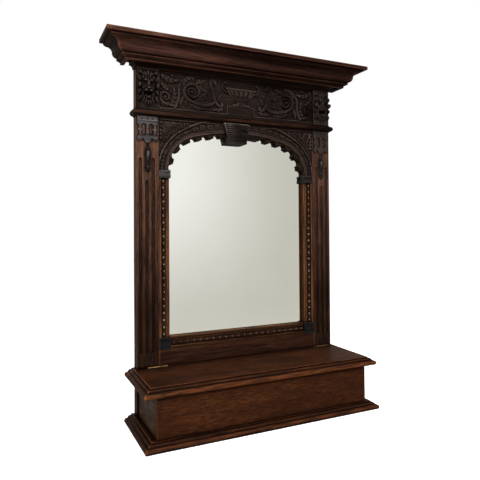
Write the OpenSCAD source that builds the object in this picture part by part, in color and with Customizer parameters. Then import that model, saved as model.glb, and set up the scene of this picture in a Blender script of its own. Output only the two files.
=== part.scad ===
// Carved oak dressing mirror: an upright frame with a scalloped arch over the glass, fluted stiles, a carved
// frieze and a deep cornice, standing on a moulded base board behind a shallow lidded box.
// The frame faces -Y and stands on z = 0, and X is its width.
// The origin is on the table, midway in width and depth.

/* [Frame] */
// Width across the two stiles
frame_w = 600; // [520:5:700]
// Thickness of the stiles, front to back
frame_t = 30; // [28:1:36]
// Width of each stile
stile_w = 60; // [58:1:66]
// Height of the stiles' tops, where the cornice board lies, above the table
stile_top = 952; // [920:4:1000]
// Height of the waist moulding's underside above the table
waist_z = 806; // [790:2:820]
// Height of the bottom rail's top edge above the table
rail_top = 184; // [176:1:192]
// Height of the bottom rail itself
rail_h = 66; // [60:1:74]
// Length of each rail's tenons
tenon_l = 35; // [24:1:40]
// Thickness of the tenons
tenon_t = 9; // [7:0.5:10]
// Shoulder above and below each tenon
tenon_shoulder = 12; // [10:1:16]
// Width of the rebate behind the frame that takes the back planks
rebate_w = 8; // [6:0.5:10]

/* [Flutes] */
// Distance of the flutes' middle line from the stile's outer side
flute_mid = 28; // [27:0.5:30]
// Distance between neighbouring flutes
flute_pitch = 17; // [16:0.5:18]
// Width of a flute
flute_w = 9; // [7:0.5:10]
// Depth of a flute
flute_depth = 3; // [2:0.5:4]
// Height of the plain foot below the flutes, above the lid
flute_foot = 38; // [30:1:46]
// Height of the outer flutes' tops above the table
flute_top = 697; // [680:1:700]
// Gap between the turned drop and the middle flute
drop_flute_gap = 20; // [14:1:30]

/* [Base and box] */
// Thickness of the base board
base_t = 22; // [20:1:28]
// How far the base board stands out past each stile
base_side = 27; // [22:1:32]
// How far the base board stands out past the box front
base_front = 24; // [20:1:30]
// Depth of the box in front of the frame
box_d = 179; // [150:1:200]
// Height of the box walls
box_h = 98; // [86:1:106]
// Thickness of the box walls
box_wall = 16; // [12:1:20]
// Thickness of the box back
box_back_t = 10; // [8:0.5:12]
// How far the box sides stand in from the stiles' outer sides
box_inset = 5; // [2:0.5:8]

/* [Lid and hinges] */
// Thickness of the lid
lid_t = 22; // [20:1:26]
// How far the lid stands out past each stile
lid_side = 26; // [22:1:32]
// How far the lid stands out past the box front
lid_front = 14; // [10:1:20]
// Clearance between the lid and the box walls below it
lid_seat = 0.3; // [0.2:0.05:0.5]
// Gap between the lid's rear edge and the frame
lid_gap = 0.6; // [0.4:0.1:1]
// Distance of the left hinge's middle from the centre line
hinge_left_x = 245; // [225:1:262]
// Distance of the right hinge's middle from the centre line
hinge_right_x = 266; // [235:1:268]
// Length of each hinge
hinge_l = 52; // [45:1:56]
// Height of each hinge leaf
leaf_h = 17; // [15:0.5:18]
// Thickness of each hinge leaf
leaf_t = 1.2; // [1:0.1:1.5]
// Radius of the hinge knuckles
knuckle_r = 2.2; // [2:0.1:2.6]
// Radius of the hinge pins
pin_r = 1.1; // [0.9:0.05:1.3]
// Radial clearance of the hinge pins in the knuckles
pin_clear = 0.05; // [0.02:0.01:0.1]
// Clearance between neighbouring knuckles
knuckle_gap = 0.3; // [0.2:0.05:0.5]

/* [Edge moulding of the base board and the lid] */
// Radius of the round nose
nose_r = 6.5; // [5:0.5:8]
// Radius of the quarter round above the nose
ovolo_r = 6; // [4:0.5:7]
// Flat strip between the quarter round and the step
edge_flat = 3; // [2:0.5:4]
// Flat strip between the nose and the quarter round
nose_flat = 2.5; // [1:0.5:4]

/* [Glass surround] */
// Thickness of the looking glass
glass_t = 3; // [2.5:0.5:4]
// Thickness of the back planks
plank_t = 6; // [5:0.5:8]
// Clearance round the glass and the planks
glass_clear = 1; // [0.5:0.1:2]
// Width of the plain margin beside the stile
margin_w = 6; // [4:0.5:8]
// Width of the channel that holds the beads
channel_w = 15; // [14:0.5:18]
// Width of the plain slip next to the glass
slip_w = 8.5; // [7:0.5:12]
// Extra height of the margin over the bottom rail
margin_extra = 4; // [0:0.5:6]
// Radius of the bead strips
bead_r = 5.5; // [4:0.5:6.5]
// How far the margins lie behind the stiles' front
margin_back = 2; // [1:0.5:3]
// How far the slips lie behind the stiles' front
slip_back = 6; // [4:0.5:8]
// Depth of the bead channel behind the stiles' front
channel_back = 8; // [7:0.5:10]
// How far the square blocks reach past the slips
block_over = 3; // [2:0.5:5]
// Height of the impost blocks
impost_h = 21.5; // [18:0.5:26]
// Height of the impost blocks' tops above the table
spring_z = 666; // [650:1:680]

/* [Arch] */
// Half width of the arch band's inner edge
arch_half = 214; // [212:1:216]
// Rise of the arch band's inner edge over the imposts
arch_rise = 114; // [110:0.5:116]
// Radius of the arch's tight side curves
arch_side_r = 99; // [94:1:104]
// How far the arch boards lie behind the stiles' front
arch_back = 2; // [1:0.5:3]
// How far the scalloped fringe lies behind the stiles' front
fringe_back = 4; // [3:0.5:8]
// Depth of the fringe's teeth inside the arch band
scallop_in = 12; // [11.5:0.5:14]
// Radius of the round bites between the fringe's teeth
scallop_r = 10.4; // [8:0.2:10.6]
// Distance between neighbouring bites along the teeth's ends
scallop_pitch = 34.8; // [32:0.2:35.2]
// Distance along the teeth's ends from the springing line to the middle of the first bite
scallop_start = 7; // [3:0.5:8]
// Number of bites on each side
scallop_count = 6; // [5:1:6]
// Half width of the raised rib's outer line at the springing line
rib_half = 243; // [240:1:245]
// Rise of the raised rib's outer line
rib_rise = 161; // [156:1:165]
// Radius of the rib's tight side curves
rib_side_r = 128; // [122:1:134]
// Width of the raised rib and of the band's inner edge
rib_w = 6; // [4:0.5:7]
// Height of the raised rib over the arch boards
rib_h = 3; // [2:0.5:4]
// Half width of the keystone's foot
key_foot = 28; // [26:1:33]
// Half width of the keystone's head
key_head = 42; // [38:1:46]
// Height of the keystone's foot below the crown of the band
key_drop = 30; // [20:0.5:32]
// Half width of the keystone's raised middle at its foot
key_mid = 9; // [8:1:14]
// How far the keystone's middle stands out from the frame
key_out = 12; // [10:1:18]
// How far the keystone stands to the left of the joint between the arch boards
key_shift = 12; // [0:1:16]
// Number of courses in the keystone
key_courses = 6; // [4:1:8]

/* [Ornament on the stiles] */
// Width of the pierced plate below the waist
plate_w = 54; // [50:1:54]
// Height of the pierced plate, without its middle lobe
plate_h = 67; // [62:1:72]
// Thickness of the pierced plate
plate_t = 3; // [2:0.5:4]
// Radius of the plate's lobes
lobe_r = 9; // [8:0.5:9]
// Width of the plate's slots
slot_w = 10; // [8:0.5:11]
// Straight height of the plate's slots
slot_h = 20; // [14:1:24]
// Width of the bar between the slots
bar_w = 8; // [6:0.5:10]
// Height of the turned drop
drop_h = 77; // [72:1:80]
// Largest radius of the turned drop
drop_r = 7.5; // [6:0.5:8]
// Width of each carved mask block
mask_w = 56; // [52:1:58]
// How far the mask's brow stands out from the stile
mask_out = 21; // [17:1:24]
// Thickness of the mask's ground plate
mask_plate_t = 4; // [3:0.5:6]
// Radius of the mask's muzzle
muzzle_r = 15; // [12:1:17]

/* [Frieze and mouldings] */
// Thickness of the carved frieze board
frieze_t = 10; // [8:0.5:12]
// How far the frieze board's ground lies behind the stiles' front
frieze_back = 2; // [1:0.5:4]
// Half width of the carved urn
urn_half = 47; // [42:1:50]
// Height of the frieze carving over its ground
relief_h = 9; // [6:0.5:10]
// Height of the waist moulding
waist_h = 20; // [18:1:24]
// Radius of the waist moulding's half round
waist_r = 8; // [7:0.5:8.5]
// Thickness of the waist moulding's fillet behind the half round
waist_fillet = 2.5; // [2:0.5:4]
// Height of the bed moulding below the cornice board
bed_h = 19; // [17:1:24]
// Projection of the bed moulding
bed_proj = 12; // [11:0.5:14]
// Radius of the bed moulding's hollow
bed_r = 9; // [7:0.5:9.5]

/* [Cornice] */
// Thickness of the cornice board
cornice_t = 12; // [10:0.5:16]
// How far the cornice board stands out past the frame
cornice_board_over = 25; // [22:0.5:30]
// Depth of the crown's lip below the cornice board's underside
lip_drop = 10; // [6:0.5:12]
// Width of the crown's lip
lip_w = 10; // [8:0.5:12]
// Height of the crown's astragal
astragal_h = 6; // [5:0.5:8]
// How far the astragal stands out past the lip
astragal_out = 7; // [5:0.5:9]
// Radius of both halves of the crown's wave
wave_r = 14; // [12:0.5:16]
// Radius of the small round under the crown's top fillet
top_round_r = 6; // [5:0.5:7]
// Height of the crown's top fillet
top_fillet_h = 9.5; // [7:0.5:12]
// How far the top fillet stands out past the small round
top_fillet_out = 9.5; // [7:0.5:11]
// Width of the crown's flat top
crown_top_w = 22; // [18:1:28]
// Width of the glue blocks' legs behind the crown
glue_w = 12; // [10:0.5:16]
// Length of the glue blocks behind the crown
glue_l = 60; // [50:1:70]

/* [Fixings] */
// Radius of the small screws' shanks in the hinges
screw_r = 1.1; // [0.9:0.05:1.3]
// Radius of the small screws' heads
screw_head_r = 2.4; // [2.2:0.1:2.6]
// Length of the small screws
screw_l = 12; // [9:1:14]
// Radius of the screws under the base board
base_screw_r = 2; // [1.5:0.1:2.5]
// Length of the screws under the base board
base_screw_l = 50; // [40:1:56]
// Radius of the nails' shanks in the back planks
nail_r = 0.9; // [0.7:0.1:1.2]
// Length of the nails in the back planks
nail_l = 18; // [16:1:20]
// Clearance round tenons, screws and nails
fit_clear = 0.1; // [0.05:0.05:0.2]

/* [Hidden] */
$fn = 48;

// Colours
oak = [0.25, 0.13, 0.08];
oak_warm = [0.36, 0.20, 0.10];
oak_carved = [0.16, 0.10, 0.08];
slate = [0.20, 0.20, 0.22];
brass = [0.62, 0.47, 0.24];
silvered = [0.82, 0.84, 0.82];
pine = [0.50, 0.37, 0.24];
iron = [0.22, 0.21, 0.20];

// A length that takes a cut clear of the face it starts from
eps = 1;

// Frame: depths run from the stiles' front face, which is y = 0 before the whole is centred in depth
half_w = frame_w / 2;
stile_in = half_w - stile_w;
board_front = -(box_d + base_front);
face_y = -(board_front + frame_t) / 2;
rebate_y = frame_t - plank_t;
surround_back = rebate_y - glass_t;
tenon_y = (rebate_y - tenon_t) / 2;
top_rail_y = frieze_back + frieze_t;
top_tenon_y = (top_rail_y + frame_t - tenon_t) / 2;
frieze_z = waist_z + waist_h;
bed_z = stile_top - bed_h;
bed_foot = 2;
panel_h = bed_z - frieze_z;

// Box and lid
box_half = half_w - box_inset;
box_top = base_t + box_h;
lid_z = box_top + lid_seat;
lid_top = lid_z + lid_t;
lid_back = -lid_gap;
lid_fore = -(box_d + lid_front);
axis_y = -lid_gap / 2;
axis_z = lid_top + lid_gap / 2;
hinge_clear = 0.3;
knuckle_l = hinge_l / 3;
leaf_low = axis_z - knuckle_r - leaf_h;

// Edge moulding, from the nose's tip inwards
step_in = nose_r + nose_flat + ovolo_r + edge_flat;
nose_top = 2 * nose_r;

// Surround: margin, channel and slip side by side
jamb_w = margin_w + channel_w + slip_w;
sill_h = jamb_w + margin_extra;
block_w = jamb_w + block_over;
block_h = sill_h + 1;
block_proud = 1;
impost_z = spring_z - impost_h;
corner_top = rail_top + block_h;
bead_x = stile_in - margin_w - channel_w / 2;
bead_z = rail_top + margin_w + margin_extra + channel_w / 2;

// Fringe: the line through its teeth's ends is the band's inner edge, drawn in
tip_r = arch_side_r - scallop_in;
tip_top = top_r(arch_half, arch_rise, arch_side_r) - scallop_in;
tip_angle = top_angle(arch_half, arch_rise, arch_side_r);
tip_side = tip_r * (90 - tip_angle) * PI / 180;

// Straight pieces in each curve of the arch's lines
arch_steps = 14;

// Keystone
key_z = spring_z + arch_rise - key_drop;
key_recess = 2;
key_edge = 1.5;
course_h = (waist_z - key_z) / key_courses;

// Stile ornament
flute_x = half_w - flute_mid;
flute_r = (flute_w * flute_w / 4 + flute_depth * flute_depth) / (2 * flute_depth);
flute_low = lid_top + flute_foot;
plate_low = waist_z - plate_h;
drop_top = plate_low - lobe_r / 2;
drop_low = drop_top - drop_h;
drop_ball = drop_r * 0.45;

// Cornice: heights from the crown's lip upwards, projections from the frame outwards
lip_z = stile_top - lip_drop;
lip_out = cornice_board_over + lip_w;
astragal_z = lip_z + lip_drop / 2;
wave_z = lip_z + lip_drop / 2 + astragal_out / 2 + astragal_h;
wave_out = lip_out + astragal_out;
round_out = wave_out + 2 * wave_r;
round_z = wave_z + 2 * wave_r;
step_up = 1.5;
step_out = 2.5;
fillet_z = round_z + step_up + top_round_r;
fillet_out = round_out + step_out + top_round_r;
crown_out = fillet_out + top_fillet_out;
crown_top = fillet_z + top_fillet_h;
crown_in_z = stile_top + cornice_t;

// Screw and nail places
hinge_screw_xs = [-0.36, 0, 0.36] * hinge_l;
hinge_screw_z = leaf_low + leaf_h * 0.45;
side_screw_ys = [-0.82, -0.5, -0.15] * box_d;
front_screw_xs = [-0.6, 0, 0.6] * box_half;
nail_x = stile_in + rebate_w / 2;
nail_zs = [for (k = [0.04, 0.27, 0.5, 0.73, 0.96]) rail_top + k * (waist_z - rail_top)];
nail_xs = [-0.5, 0, 0.5] * stile_in;
nail_head_t = 1;
plank_edge = stile_in / 3;

// Moves a piece drawn from the stiles' front face to its place in depth
module placed() {
  translate([0, face_y, 0]) children();
}

// Raises a front view drawn in x and z, from depth y0 back to depth y1
module slab(y0, y1) {
  translate([0, y1, 0]) rotate([90, 0, 0]) linear_extrude(y1 - y0) children();
}

// Runs a section drawn in y and z along the width, from x0 to x1
module run_x(x0, x1) {
  translate([x0, 0, 0]) rotate([90, 0, 90]) linear_extrude(x1 - x0) children();
}

// A box from its lowest to its highest corner
module block(low, high) {
  translate(low) cube(high - low);
}

// What the moulded edge leaves off a board whose edge is at x = 0 and whose body lies at x < 0
module edge_waste(t) {
  difference() {
    translate([-step_in, nose_top]) square([step_in + eps, t - nose_top + eps]);
    translate([-step_in, nose_top]) square([edge_flat, ovolo_r]);
    translate([-step_in + edge_flat, nose_top]) circle(ovolo_r);
  }
  difference() {
    translate([-nose_r, -eps]) square([nose_r + eps, nose_top + eps]);
    translate([-nose_r, nose_r]) circle(nose_r);
  }
}

// A board moulded on its front and both ends
module moulded_board(half, y0, y1, t) {
  intersection() {
    slab(y0, y1) difference() {
      translate([-half, 0]) square([2 * half, t]);
      translate([half, 0]) edge_waste(t);
      mirror([1, 0]) translate([half, 0]) edge_waste(t);
    }
    run_x(-half, half) difference() {
      translate([y0, 0]) square([y1 - y0, t]);
      mirror([1, 0]) translate([-y0, 0]) edge_waste(t);
    }
  }
}

// Holes for the screws that rise through the base board
module base_screw_spots() {
  for (s = [-1, 1]) {
    for (y = side_screw_ys) translate([s * (box_half - box_wall / 2), y, 0]) children();
    for (x = [stile_in + stile_w * 0.25, stile_in + stile_w * 0.75])
      translate([s * x, frame_t / 2, 0]) children();
  }
  for (x = front_screw_xs) translate([x, -box_d + box_wall / 2, 0]) children();
}

module base_screw(gap) {
  cylinder(h = base_screw_l, r = base_screw_r + gap);
  cylinder(h = 2 * base_screw_r, r1 = 2.2 * base_screw_r + gap, r2 = base_screw_r + gap);
}

module base_screw_holes() {
  base_screw_spots() base_screw(fit_clear);
  base_screw_spots() translate([0, 0, -eps]) cylinder(h = eps, r = 2.2 * base_screw_r + fit_clear);
}

module base_board() {
  color(oak) placed() difference() {
    moulded_board(half_w + base_side, board_front, frame_t, base_t);
    base_screw_holes();
  }
}

module base_screws() {
  color(iron) placed() base_screw_spots() difference() {
    base_screw(0);
    translate([-2.2 * base_screw_r, -0.5, -eps]) cube([4.4 * base_screw_r, 1, eps + 1]);
  }
}

module box_front() {
  color(oak_warm) placed() difference() {
    block([-box_half, -box_d, base_t], [box_half, -box_d + box_wall, box_top]);
    base_screw_holes();
  }
}

module box_side() {
  difference() {
    block([box_half - box_wall, -box_d + box_wall, base_t], [box_half, 0, box_top]);
    base_screw_holes();
  }
}

module box_side_left() {
  color(oak_warm) placed() mirror([1, 0, 0]) box_side();
}

module box_side_right() {
  color(oak_warm) placed() box_side();
}

module box_back() {
  color(oak_warm) placed()
    block([-box_half + box_wall, -box_back_t, base_t], [box_half - box_wall, 0, box_top]);
}

// Room for a hinge's leaf and knuckle, sunk into the face at y = 0 that looks along -Y
module hinge_gain(x) {
  block([x - hinge_l / 2 - hinge_clear, -eps, leaf_low], [x + hinge_l / 2 + hinge_clear, leaf_t, axis_z]);
  block([x - hinge_l / 2 - hinge_clear, -eps, axis_z - knuckle_r - hinge_clear],
    [x + hinge_l / 2 + hinge_clear, axis_y + knuckle_r + hinge_clear, axis_z + knuckle_r + hinge_clear]);
}

module hinge_gains() {
  hinge_gain(-hinge_left_x);
  hinge_gain(hinge_right_x);
}

// Three screws through a leaf whose outer face is at y = 0, pointing along +Y
module hinge_screw(gap) {
  rotate([-90, 0, 0]) {
    cylinder(h = screw_l, r = screw_r + gap);
    cylinder(h = leaf_t, r1 = screw_head_r + gap, r2 = screw_r + gap);
  }
}

module hinge_screw_row(x, gap) {
  for (dx = hinge_screw_xs) translate([x + dx, 0, hinge_screw_z]) hinge_screw(gap);
}

module frame_screws(gap) {
  hinge_screw_row(-hinge_left_x, gap);
  hinge_screw_row(hinge_right_x, gap);
}

// The lid's screws point forwards, into its rear edge
module lid_screws(gap) {
  translate([0, lid_back, 0]) mirror([0, 1, 0]) frame_screws(gap);
}

module lid() {
  color(oak) placed() difference() {
    translate([0, 0, lid_z]) moulded_board(half_w + lid_side, lid_fore, lid_back, lid_t);
    translate([0, lid_back, 0]) mirror([0, 1, 0]) hinge_gains();
    lid_screws(fit_clear);
  }
}

// A short moulded piece outside each stile that carries the lid's edge to the back
module lid_return() {
  translate([0, 0, lid_z]) slab(0, frame_t) difference() {
    translate([half_w, 0]) square([lid_side, lid_t]);
    translate([half_w + lid_side, 0]) edge_waste(lid_t);
  }
}

module lid_return_left() {
  color(oak) placed() mirror([1, 0, 0]) lid_return();
}

module lid_return_right() {
  color(oak) placed() lid_return();
}

// The frame's leaf has the outer two knuckles, the lid's leaf the middle one
module frame_leaf(x) {
  difference() {
    union() {
      block([x - hinge_l / 2, 0, leaf_low], [x + hinge_l / 2, leaf_t, axis_z]);
      for (s = [-1, 1]) translate([x + s * knuckle_l, axis_y, axis_z]) rotate([0, 90, 0])
        cylinder(h = knuckle_l, r = knuckle_r, center = true);
    }
    block([x - knuckle_l / 2 - knuckle_gap / 2, -eps, axis_z - knuckle_r - hinge_clear],
      [x + knuckle_l / 2 + knuckle_gap / 2, leaf_t + eps, axis_z + eps]);
    for (s = [-1, 1]) translate([x + s * (knuckle_l / 2), axis_y, axis_z]) rotate([0, 90, 0])
      cylinder(h = knuckle_gap, r = knuckle_r + eps, center = true);
    translate([x, axis_y, axis_z]) rotate([0, 90, 0])
      cylinder(h = hinge_l + 2 * eps, r = pin_r + pin_clear, center = true);
    hinge_screw_row(x, fit_clear);
    translate([0, -eps, 0]) for (dx = hinge_screw_xs) translate([x + dx, 0, hinge_screw_z])
      rotate([-90, 0, 0]) cylinder(h = eps, r = screw_head_r + fit_clear);
  }
}

module lid_leaf(x) {
  difference() {
    union() {
      block([x - hinge_l / 2, lid_back - leaf_t, leaf_low],
        [x + hinge_l / 2, lid_back, axis_z - knuckle_r - hinge_clear]);
      block([x - knuckle_l / 2 + knuckle_gap / 2, lid_back - leaf_t, axis_z - knuckle_r - 2 * hinge_clear],
        [x + knuckle_l / 2 - knuckle_gap / 2, lid_back, axis_z]);
      translate([x, axis_y, axis_z]) rotate([0, 90, 0])
        cylinder(h = knuckle_l - knuckle_gap, r = knuckle_r, center = true);
    }
    translate([x, axis_y, axis_z]) rotate([0, 90, 0])
      cylinder(h = hinge_l, r = pin_r + pin_clear, center = true);
    translate([0, lid_back, 0]) mirror([0, 1, 0]) hinge_screw_row(x, fit_clear);
    for (dx = hinge_screw_xs) translate([x + dx, lid_back, hinge_screw_z])
      rotate([-90, 0, 0]) cylinder(h = eps, r = screw_head_r + fit_clear);
  }
}

module hinge_pin(x) {
  translate([x, axis_y, axis_z]) rotate([0, 90, 0]) cylinder(h = hinge_l, r = pin_r, center = true);
}

module hinge_left_lid_leaf() {
  color(brass) placed() lid_leaf(-hinge_left_x);
}

module hinge_left_frame_leaf() {
  color(brass) placed() frame_leaf(-hinge_left_x);
}

module hinge_left_pin() {
  color(brass) placed() hinge_pin(-hinge_left_x);
}

module hinge_right_lid_leaf() {
  color(brass) placed() lid_leaf(hinge_right_x);
}

module hinge_right_frame_leaf() {
  color(brass) placed() frame_leaf(hinge_right_x);
}

module hinge_right_pin() {
  color(brass) placed() hinge_pin(hinge_right_x);
}

module lid_hinge_screws() {
  color(brass) placed() lid_screws(0);
}

module frame_hinge_screws() {
  color(brass) placed() frame_screws(0);
}

// A round-bottomed flute with round ends, cut into the face at y = 0
module flute(x, z0, z1) {
  translate([x, flute_depth - flute_r, 0]) {
    translate([0, 0, z0 + flute_r]) cylinder(h = z1 - z0 - 2 * flute_r, r = flute_r);
    translate([0, 0, z0 + flute_r]) sphere(flute_r);
    translate([0, 0, z1 - flute_r]) sphere(flute_r);
  }
}

// A rail's tenon at the right end, grown by a gap to make its slot in the stile
module tenon(z0, z1, y0, gap) {
  block([stile_in - eps, y0 - gap, z0 + tenon_shoulder - gap],
    [stile_in + tenon_l + gap, y0 + tenon_t + gap, z1 - tenon_shoulder + gap]);
}

module low_tenon(gap) {
  tenon(rail_top - rail_h, rail_top, tenon_y, gap);
}

module high_tenon(gap) {
  tenon(waist_z, stile_top, top_tenon_y, gap);
}

module nail(gap) {
  translate([0, frame_t, 0]) rotate([90, 0, 0]) {
    cylinder(h = nail_l, r = nail_r + gap);
    cylinder(h = nail_head_t, r = 2.5 * nail_r + gap);
  }
}

module nail_spots() {
  for (s = [-1, 1]) for (z = nail_zs) translate([s * nail_x, 0, z]) children();
  for (x = nail_xs) for (z = [rail_top - rebate_w / 2, waist_z + rebate_w / 2])
    translate([x, 0, z]) children();
}

module nail_holes() {
  nail_spots() nail(fit_clear);
}

// The rebate behind the frame that the back planks lie in
module plank_rebate() {
  block([-stile_in - rebate_w, rebate_y, rail_top - rebate_w],
    [stile_in + rebate_w, frame_t + eps, waist_z + rebate_w]);
}

module stile() {
  difference() {
    block([stile_in, 0, base_t], [half_w, frame_t, stile_top]);
    flute(flute_x, flute_low, drop_low - drop_flute_gap);
    for (s = [-1, 1]) flute(flute_x + s * flute_pitch, flute_low, flute_top);
    low_tenon(fit_clear);
    high_tenon(fit_clear);
    plank_rebate();
    nail_holes();
    base_screw_holes();
  }
}

module stile_left() {
  color(oak) placed() difference() {
    mirror([1, 0, 0]) stile();
    hinge_gains();
    frame_screws(fit_clear);
  }
}

module stile_right() {
  color(oak) placed() difference() {
    stile();
    hinge_gains();
    frame_screws(fit_clear);
  }
}

module bottom_rail() {
  color(oak) placed() difference() {
    union() {
      block([-stile_in, 0, rail_top - rail_h], [stile_in, frame_t, rail_top]);
      low_tenon(0);
      mirror([1, 0, 0]) low_tenon(0);
    }
    plank_rebate();
    hinge_gains();
    frame_screws(fit_clear);
    nail_holes();
  }
}

module top_rail() {
  color(oak) placed() difference() {
    union() {
      block([-stile_in, top_rail_y, waist_z], [stile_in, frame_t, stile_top]);
      high_tenon(0);
      mirror([1, 0, 0]) high_tenon(0);
    }
    plank_rebate();
    nail_holes();
  }
}

// Margin, channel and slip beside the right stile, seen from above
module jamb_section() {
  difference() {
    translate([stile_in - jamb_w, 0]) square([jamb_w, surround_back]);
    translate([stile_in - margin_w, -eps]) square([margin_w + eps, margin_back + eps]);
    translate([stile_in - margin_w - channel_w, -eps]) square([channel_w, channel_back + eps]);
    translate([stile_in - jamb_w - eps, -eps]) square([slip_w + 2 * eps, slip_back + eps]);
  }
}

module jamb() {
  translate([0, 0, corner_top]) linear_extrude(impost_z - corner_top) jamb_section();
}

module slip_left() {
  color(oak) placed() mirror([1, 0, 0]) jamb();
}

module slip_right() {
  color(oak) placed() jamb();
}

// The same section laid along the bottom rail, with a wider margin
module slip_bottom() {
  color(oak) placed() run_x(-stile_in + block_w, stile_in - block_w) difference() {
    translate([0, rail_top]) square([surround_back, sill_h]);
    translate([-eps, rail_top - eps]) square([margin_back + eps, margin_w + margin_extra + eps]);
    translate([-eps, rail_top + margin_w + margin_extra]) square([channel_back + eps, channel_w]);
    translate([-eps, rail_top + sill_h - slip_w]) square([slip_back + eps, slip_w + eps]);
  }
}

// Half-round strips that carry the beads, flat on the channel's floor
module bead_section() {
  intersection() {
    circle(bead_r);
    translate([-bead_r, -bead_r]) square([2 * bead_r, bead_r]);
  }
}

module bead_jamb() {
  translate([bead_x, channel_back, corner_top]) linear_extrude(impost_z - corner_top) bead_section();
}

module bead_strip_left() {
  color(oak_carved) placed() mirror([1, 0, 0]) bead_jamb();
}

module bead_strip_right() {
  color(oak_carved) placed() bead_jamb();
}

module bead_strip_bottom() {
  color(oak_carved) placed() run_x(-stile_in + block_w, stile_in - block_w)
    translate([channel_back, bead_z]) rotate(-90) bead_section();
}

// A square block of the surround at the right side
module surround_block(z0, z1) {
  block([stile_in - block_w, -block_proud, z0], [stile_in, surround_back, z1]);
}

module corner_block_left() {
  color(slate) placed() mirror([1, 0, 0]) surround_block(rail_top, corner_top);
}

module corner_block_right() {
  color(slate) placed() surround_block(rail_top, corner_top);
}

module impost_left() {
  color(slate) placed() mirror([1, 0, 0]) surround_block(impost_z, spring_z);
}

module impost_right() {
  color(slate) placed() surround_block(impost_z, spring_z);
}

// Radius of a three-centred arch's flat top curve, from its half width a, rise h and side radius r
function top_r(a, h, r) = ((a - r) * (a - r) + h * h - r * r) / (2 * (h - r));

// Half angle of that top curve
function top_angle(a, h, r) = atan2(a - r, top_r(a, h, r) - h);

// The right half of a three-centred arch's line, from the springing line to the crown
function arch_line(a, h, r) =
  let (big = top_r(a, h, r), half = top_angle(a, h, r))
  concat(
    [for (k = [0 : arch_steps]) let (t = (90 - half) * k / arch_steps) [a - r + r * cos(t), r * sin(t)]],
    [for (k = [1 : arch_steps]) let (t = half * (1 - k / arch_steps))
      [big * sin(t), h - big + big * cos(t)]]);

// The space under a three-centred arch, standing on the springing line
module arch_space(a, h, r) {
  line = arch_line(a, h, r);
  left = [for (k = [len(line) - 2 : -1 : 0]) [-line[k][0], line[k][1]]];
  polygon(concat([[-a, -2 * r], [a, -2 * r]], line, left));
}

// The place of a point that lies at length s along the line through the teeth's ends
function tip_place(s) =
  s < tip_side
    ? let (t = s / tip_r * 180 / PI) [arch_half - arch_side_r, 0] + tip_r * [cos(t), sin(t)]
    : let (t = tip_angle - (s - tip_side) / tip_top * 180 / PI)
      [0, arch_rise - scallop_in - tip_top] + tip_top * [sin(t), cos(t)];

// The space under the fringe: up to its teeth's ends, with a round bite between each tooth and the next
module fringe_space() {
  arch_space(arch_half - scallop_in, arch_rise - scallop_in, tip_r);
  for (k = [0 : scallop_count - 1])
    translate(tip_place(scallop_start + k * scallop_pitch)) circle(scallop_r);
}

// A raised band that follows a three-centred arch, of width w inside its curve
module arch_rib(a, h, r, w) {
  difference() {
    arch_space(a, h, r);
    arch_space(a - w, h - w, r - w);
  }
}

// The right half of the arch head: a board with the opening, two ribs and the scalloped fringe
module arch_half_board() {
  translate([0, 0, spring_z]) intersection() {
    union() {
      slab(fringe_back, surround_back) difference() {
        square([stile_in, waist_z - spring_z]);
        fringe_space();
      }
      slab(arch_back, fringe_back) difference() {
        square([stile_in, waist_z - spring_z]);
        arch_space(arch_half, arch_rise, arch_side_r);
      }
      slab(arch_back - rib_h, arch_back) {
        arch_rib(rib_half, rib_rise, rib_side_r, rib_w);
        arch_rib(arch_half + rib_w, arch_rise + rib_w, arch_side_r + rib_w, rib_w);
      }
    }
    block([0, arch_back - rib_h - eps, 0], [stile_in, surround_back + eps, waist_z - spring_z]);
  }
}

// Room for the keystone on the face of the arch boards
module keystone_room() {
  block([-key_shift - key_head, -key_out, key_z], [-key_shift + key_head, arch_back, waist_z]);
}

module arch_left() {
  color(oak_carved) placed() difference() {
    mirror([1, 0, 0]) arch_half_board();
    keystone_room();
  }
}

module arch_right() {
  color(oak_carved) placed() difference() {
    arch_half_board();
    keystone_room();
  }
}

// The keystone's foot behind its face, which fills the arch's opening as far back as the glass
module keystone_foot() {
  intersection() {
    translate([0, 0, spring_z]) {
      slab(arch_back, surround_back) fringe_space();
      slab(arch_back, fringe_back) arch_space(arch_half, arch_rise, arch_side_r);
    }
    block([-key_shift - key_foot, arch_back, key_z], [-key_shift + key_foot, surround_back, waist_z]);
  }
}

// Keystone: a stack of splayed courses that narrow downwards, with a plain middle in front
module keystone() {
  color(oak_carved) placed() {
    translate([-key_shift, 0, key_z]) {
      for (k = [0 : key_courses - 1]) translate([0, 0, k * course_h]) linear_extrude(course_h) {
        rear = key_foot + (key_head - key_foot) * (k + 1) / key_courses;
        fore = key_mid + key_edge + (key_head - key_foot) * (k + 1) / key_courses;
        polygon([[-rear, arch_back], [-fore, -key_out + key_recess], [fore, -key_out + key_recess],
          [rear, arch_back]]);
      }
      slab(-key_out, -key_out + key_recess)
        polygon([[-key_mid, 0], [key_mid, 0], [key_mid + key_head - key_foot, waist_z - key_z],
          [-key_mid - key_head + key_foot, waist_z - key_z]]);
    }
    keystone_foot();
  }
}

// Pierced plate under the waist: a band with two slots beside a middle bar and three lobes below
module strap_plate() {
  translate([half_w - stile_w / 2, 0, plate_low]) slab(-plate_t, 0) difference() {
    union() {
      translate([-plate_w / 2, lobe_r]) square([plate_w, plate_h - lobe_r]);
      for (s = [-1, 1]) translate([s * (plate_w / 2 - lobe_r), lobe_r]) circle(lobe_r);
      translate([0, lobe_r / 2]) circle(lobe_r);
    }
    for (s = [-1, 1]) translate([s * (slot_w / 2 + bar_w / 2), plate_h * 0.36]) {
      translate([-slot_w / 2, 0]) square([slot_w, slot_h]);
      circle(slot_w / 2);
      translate([0, slot_h]) circle(slot_w / 2);
    }
  }
}

module strap_plate_left() {
  color(slate) placed() mirror([1, 0, 0]) strap_plate();
}

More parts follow.
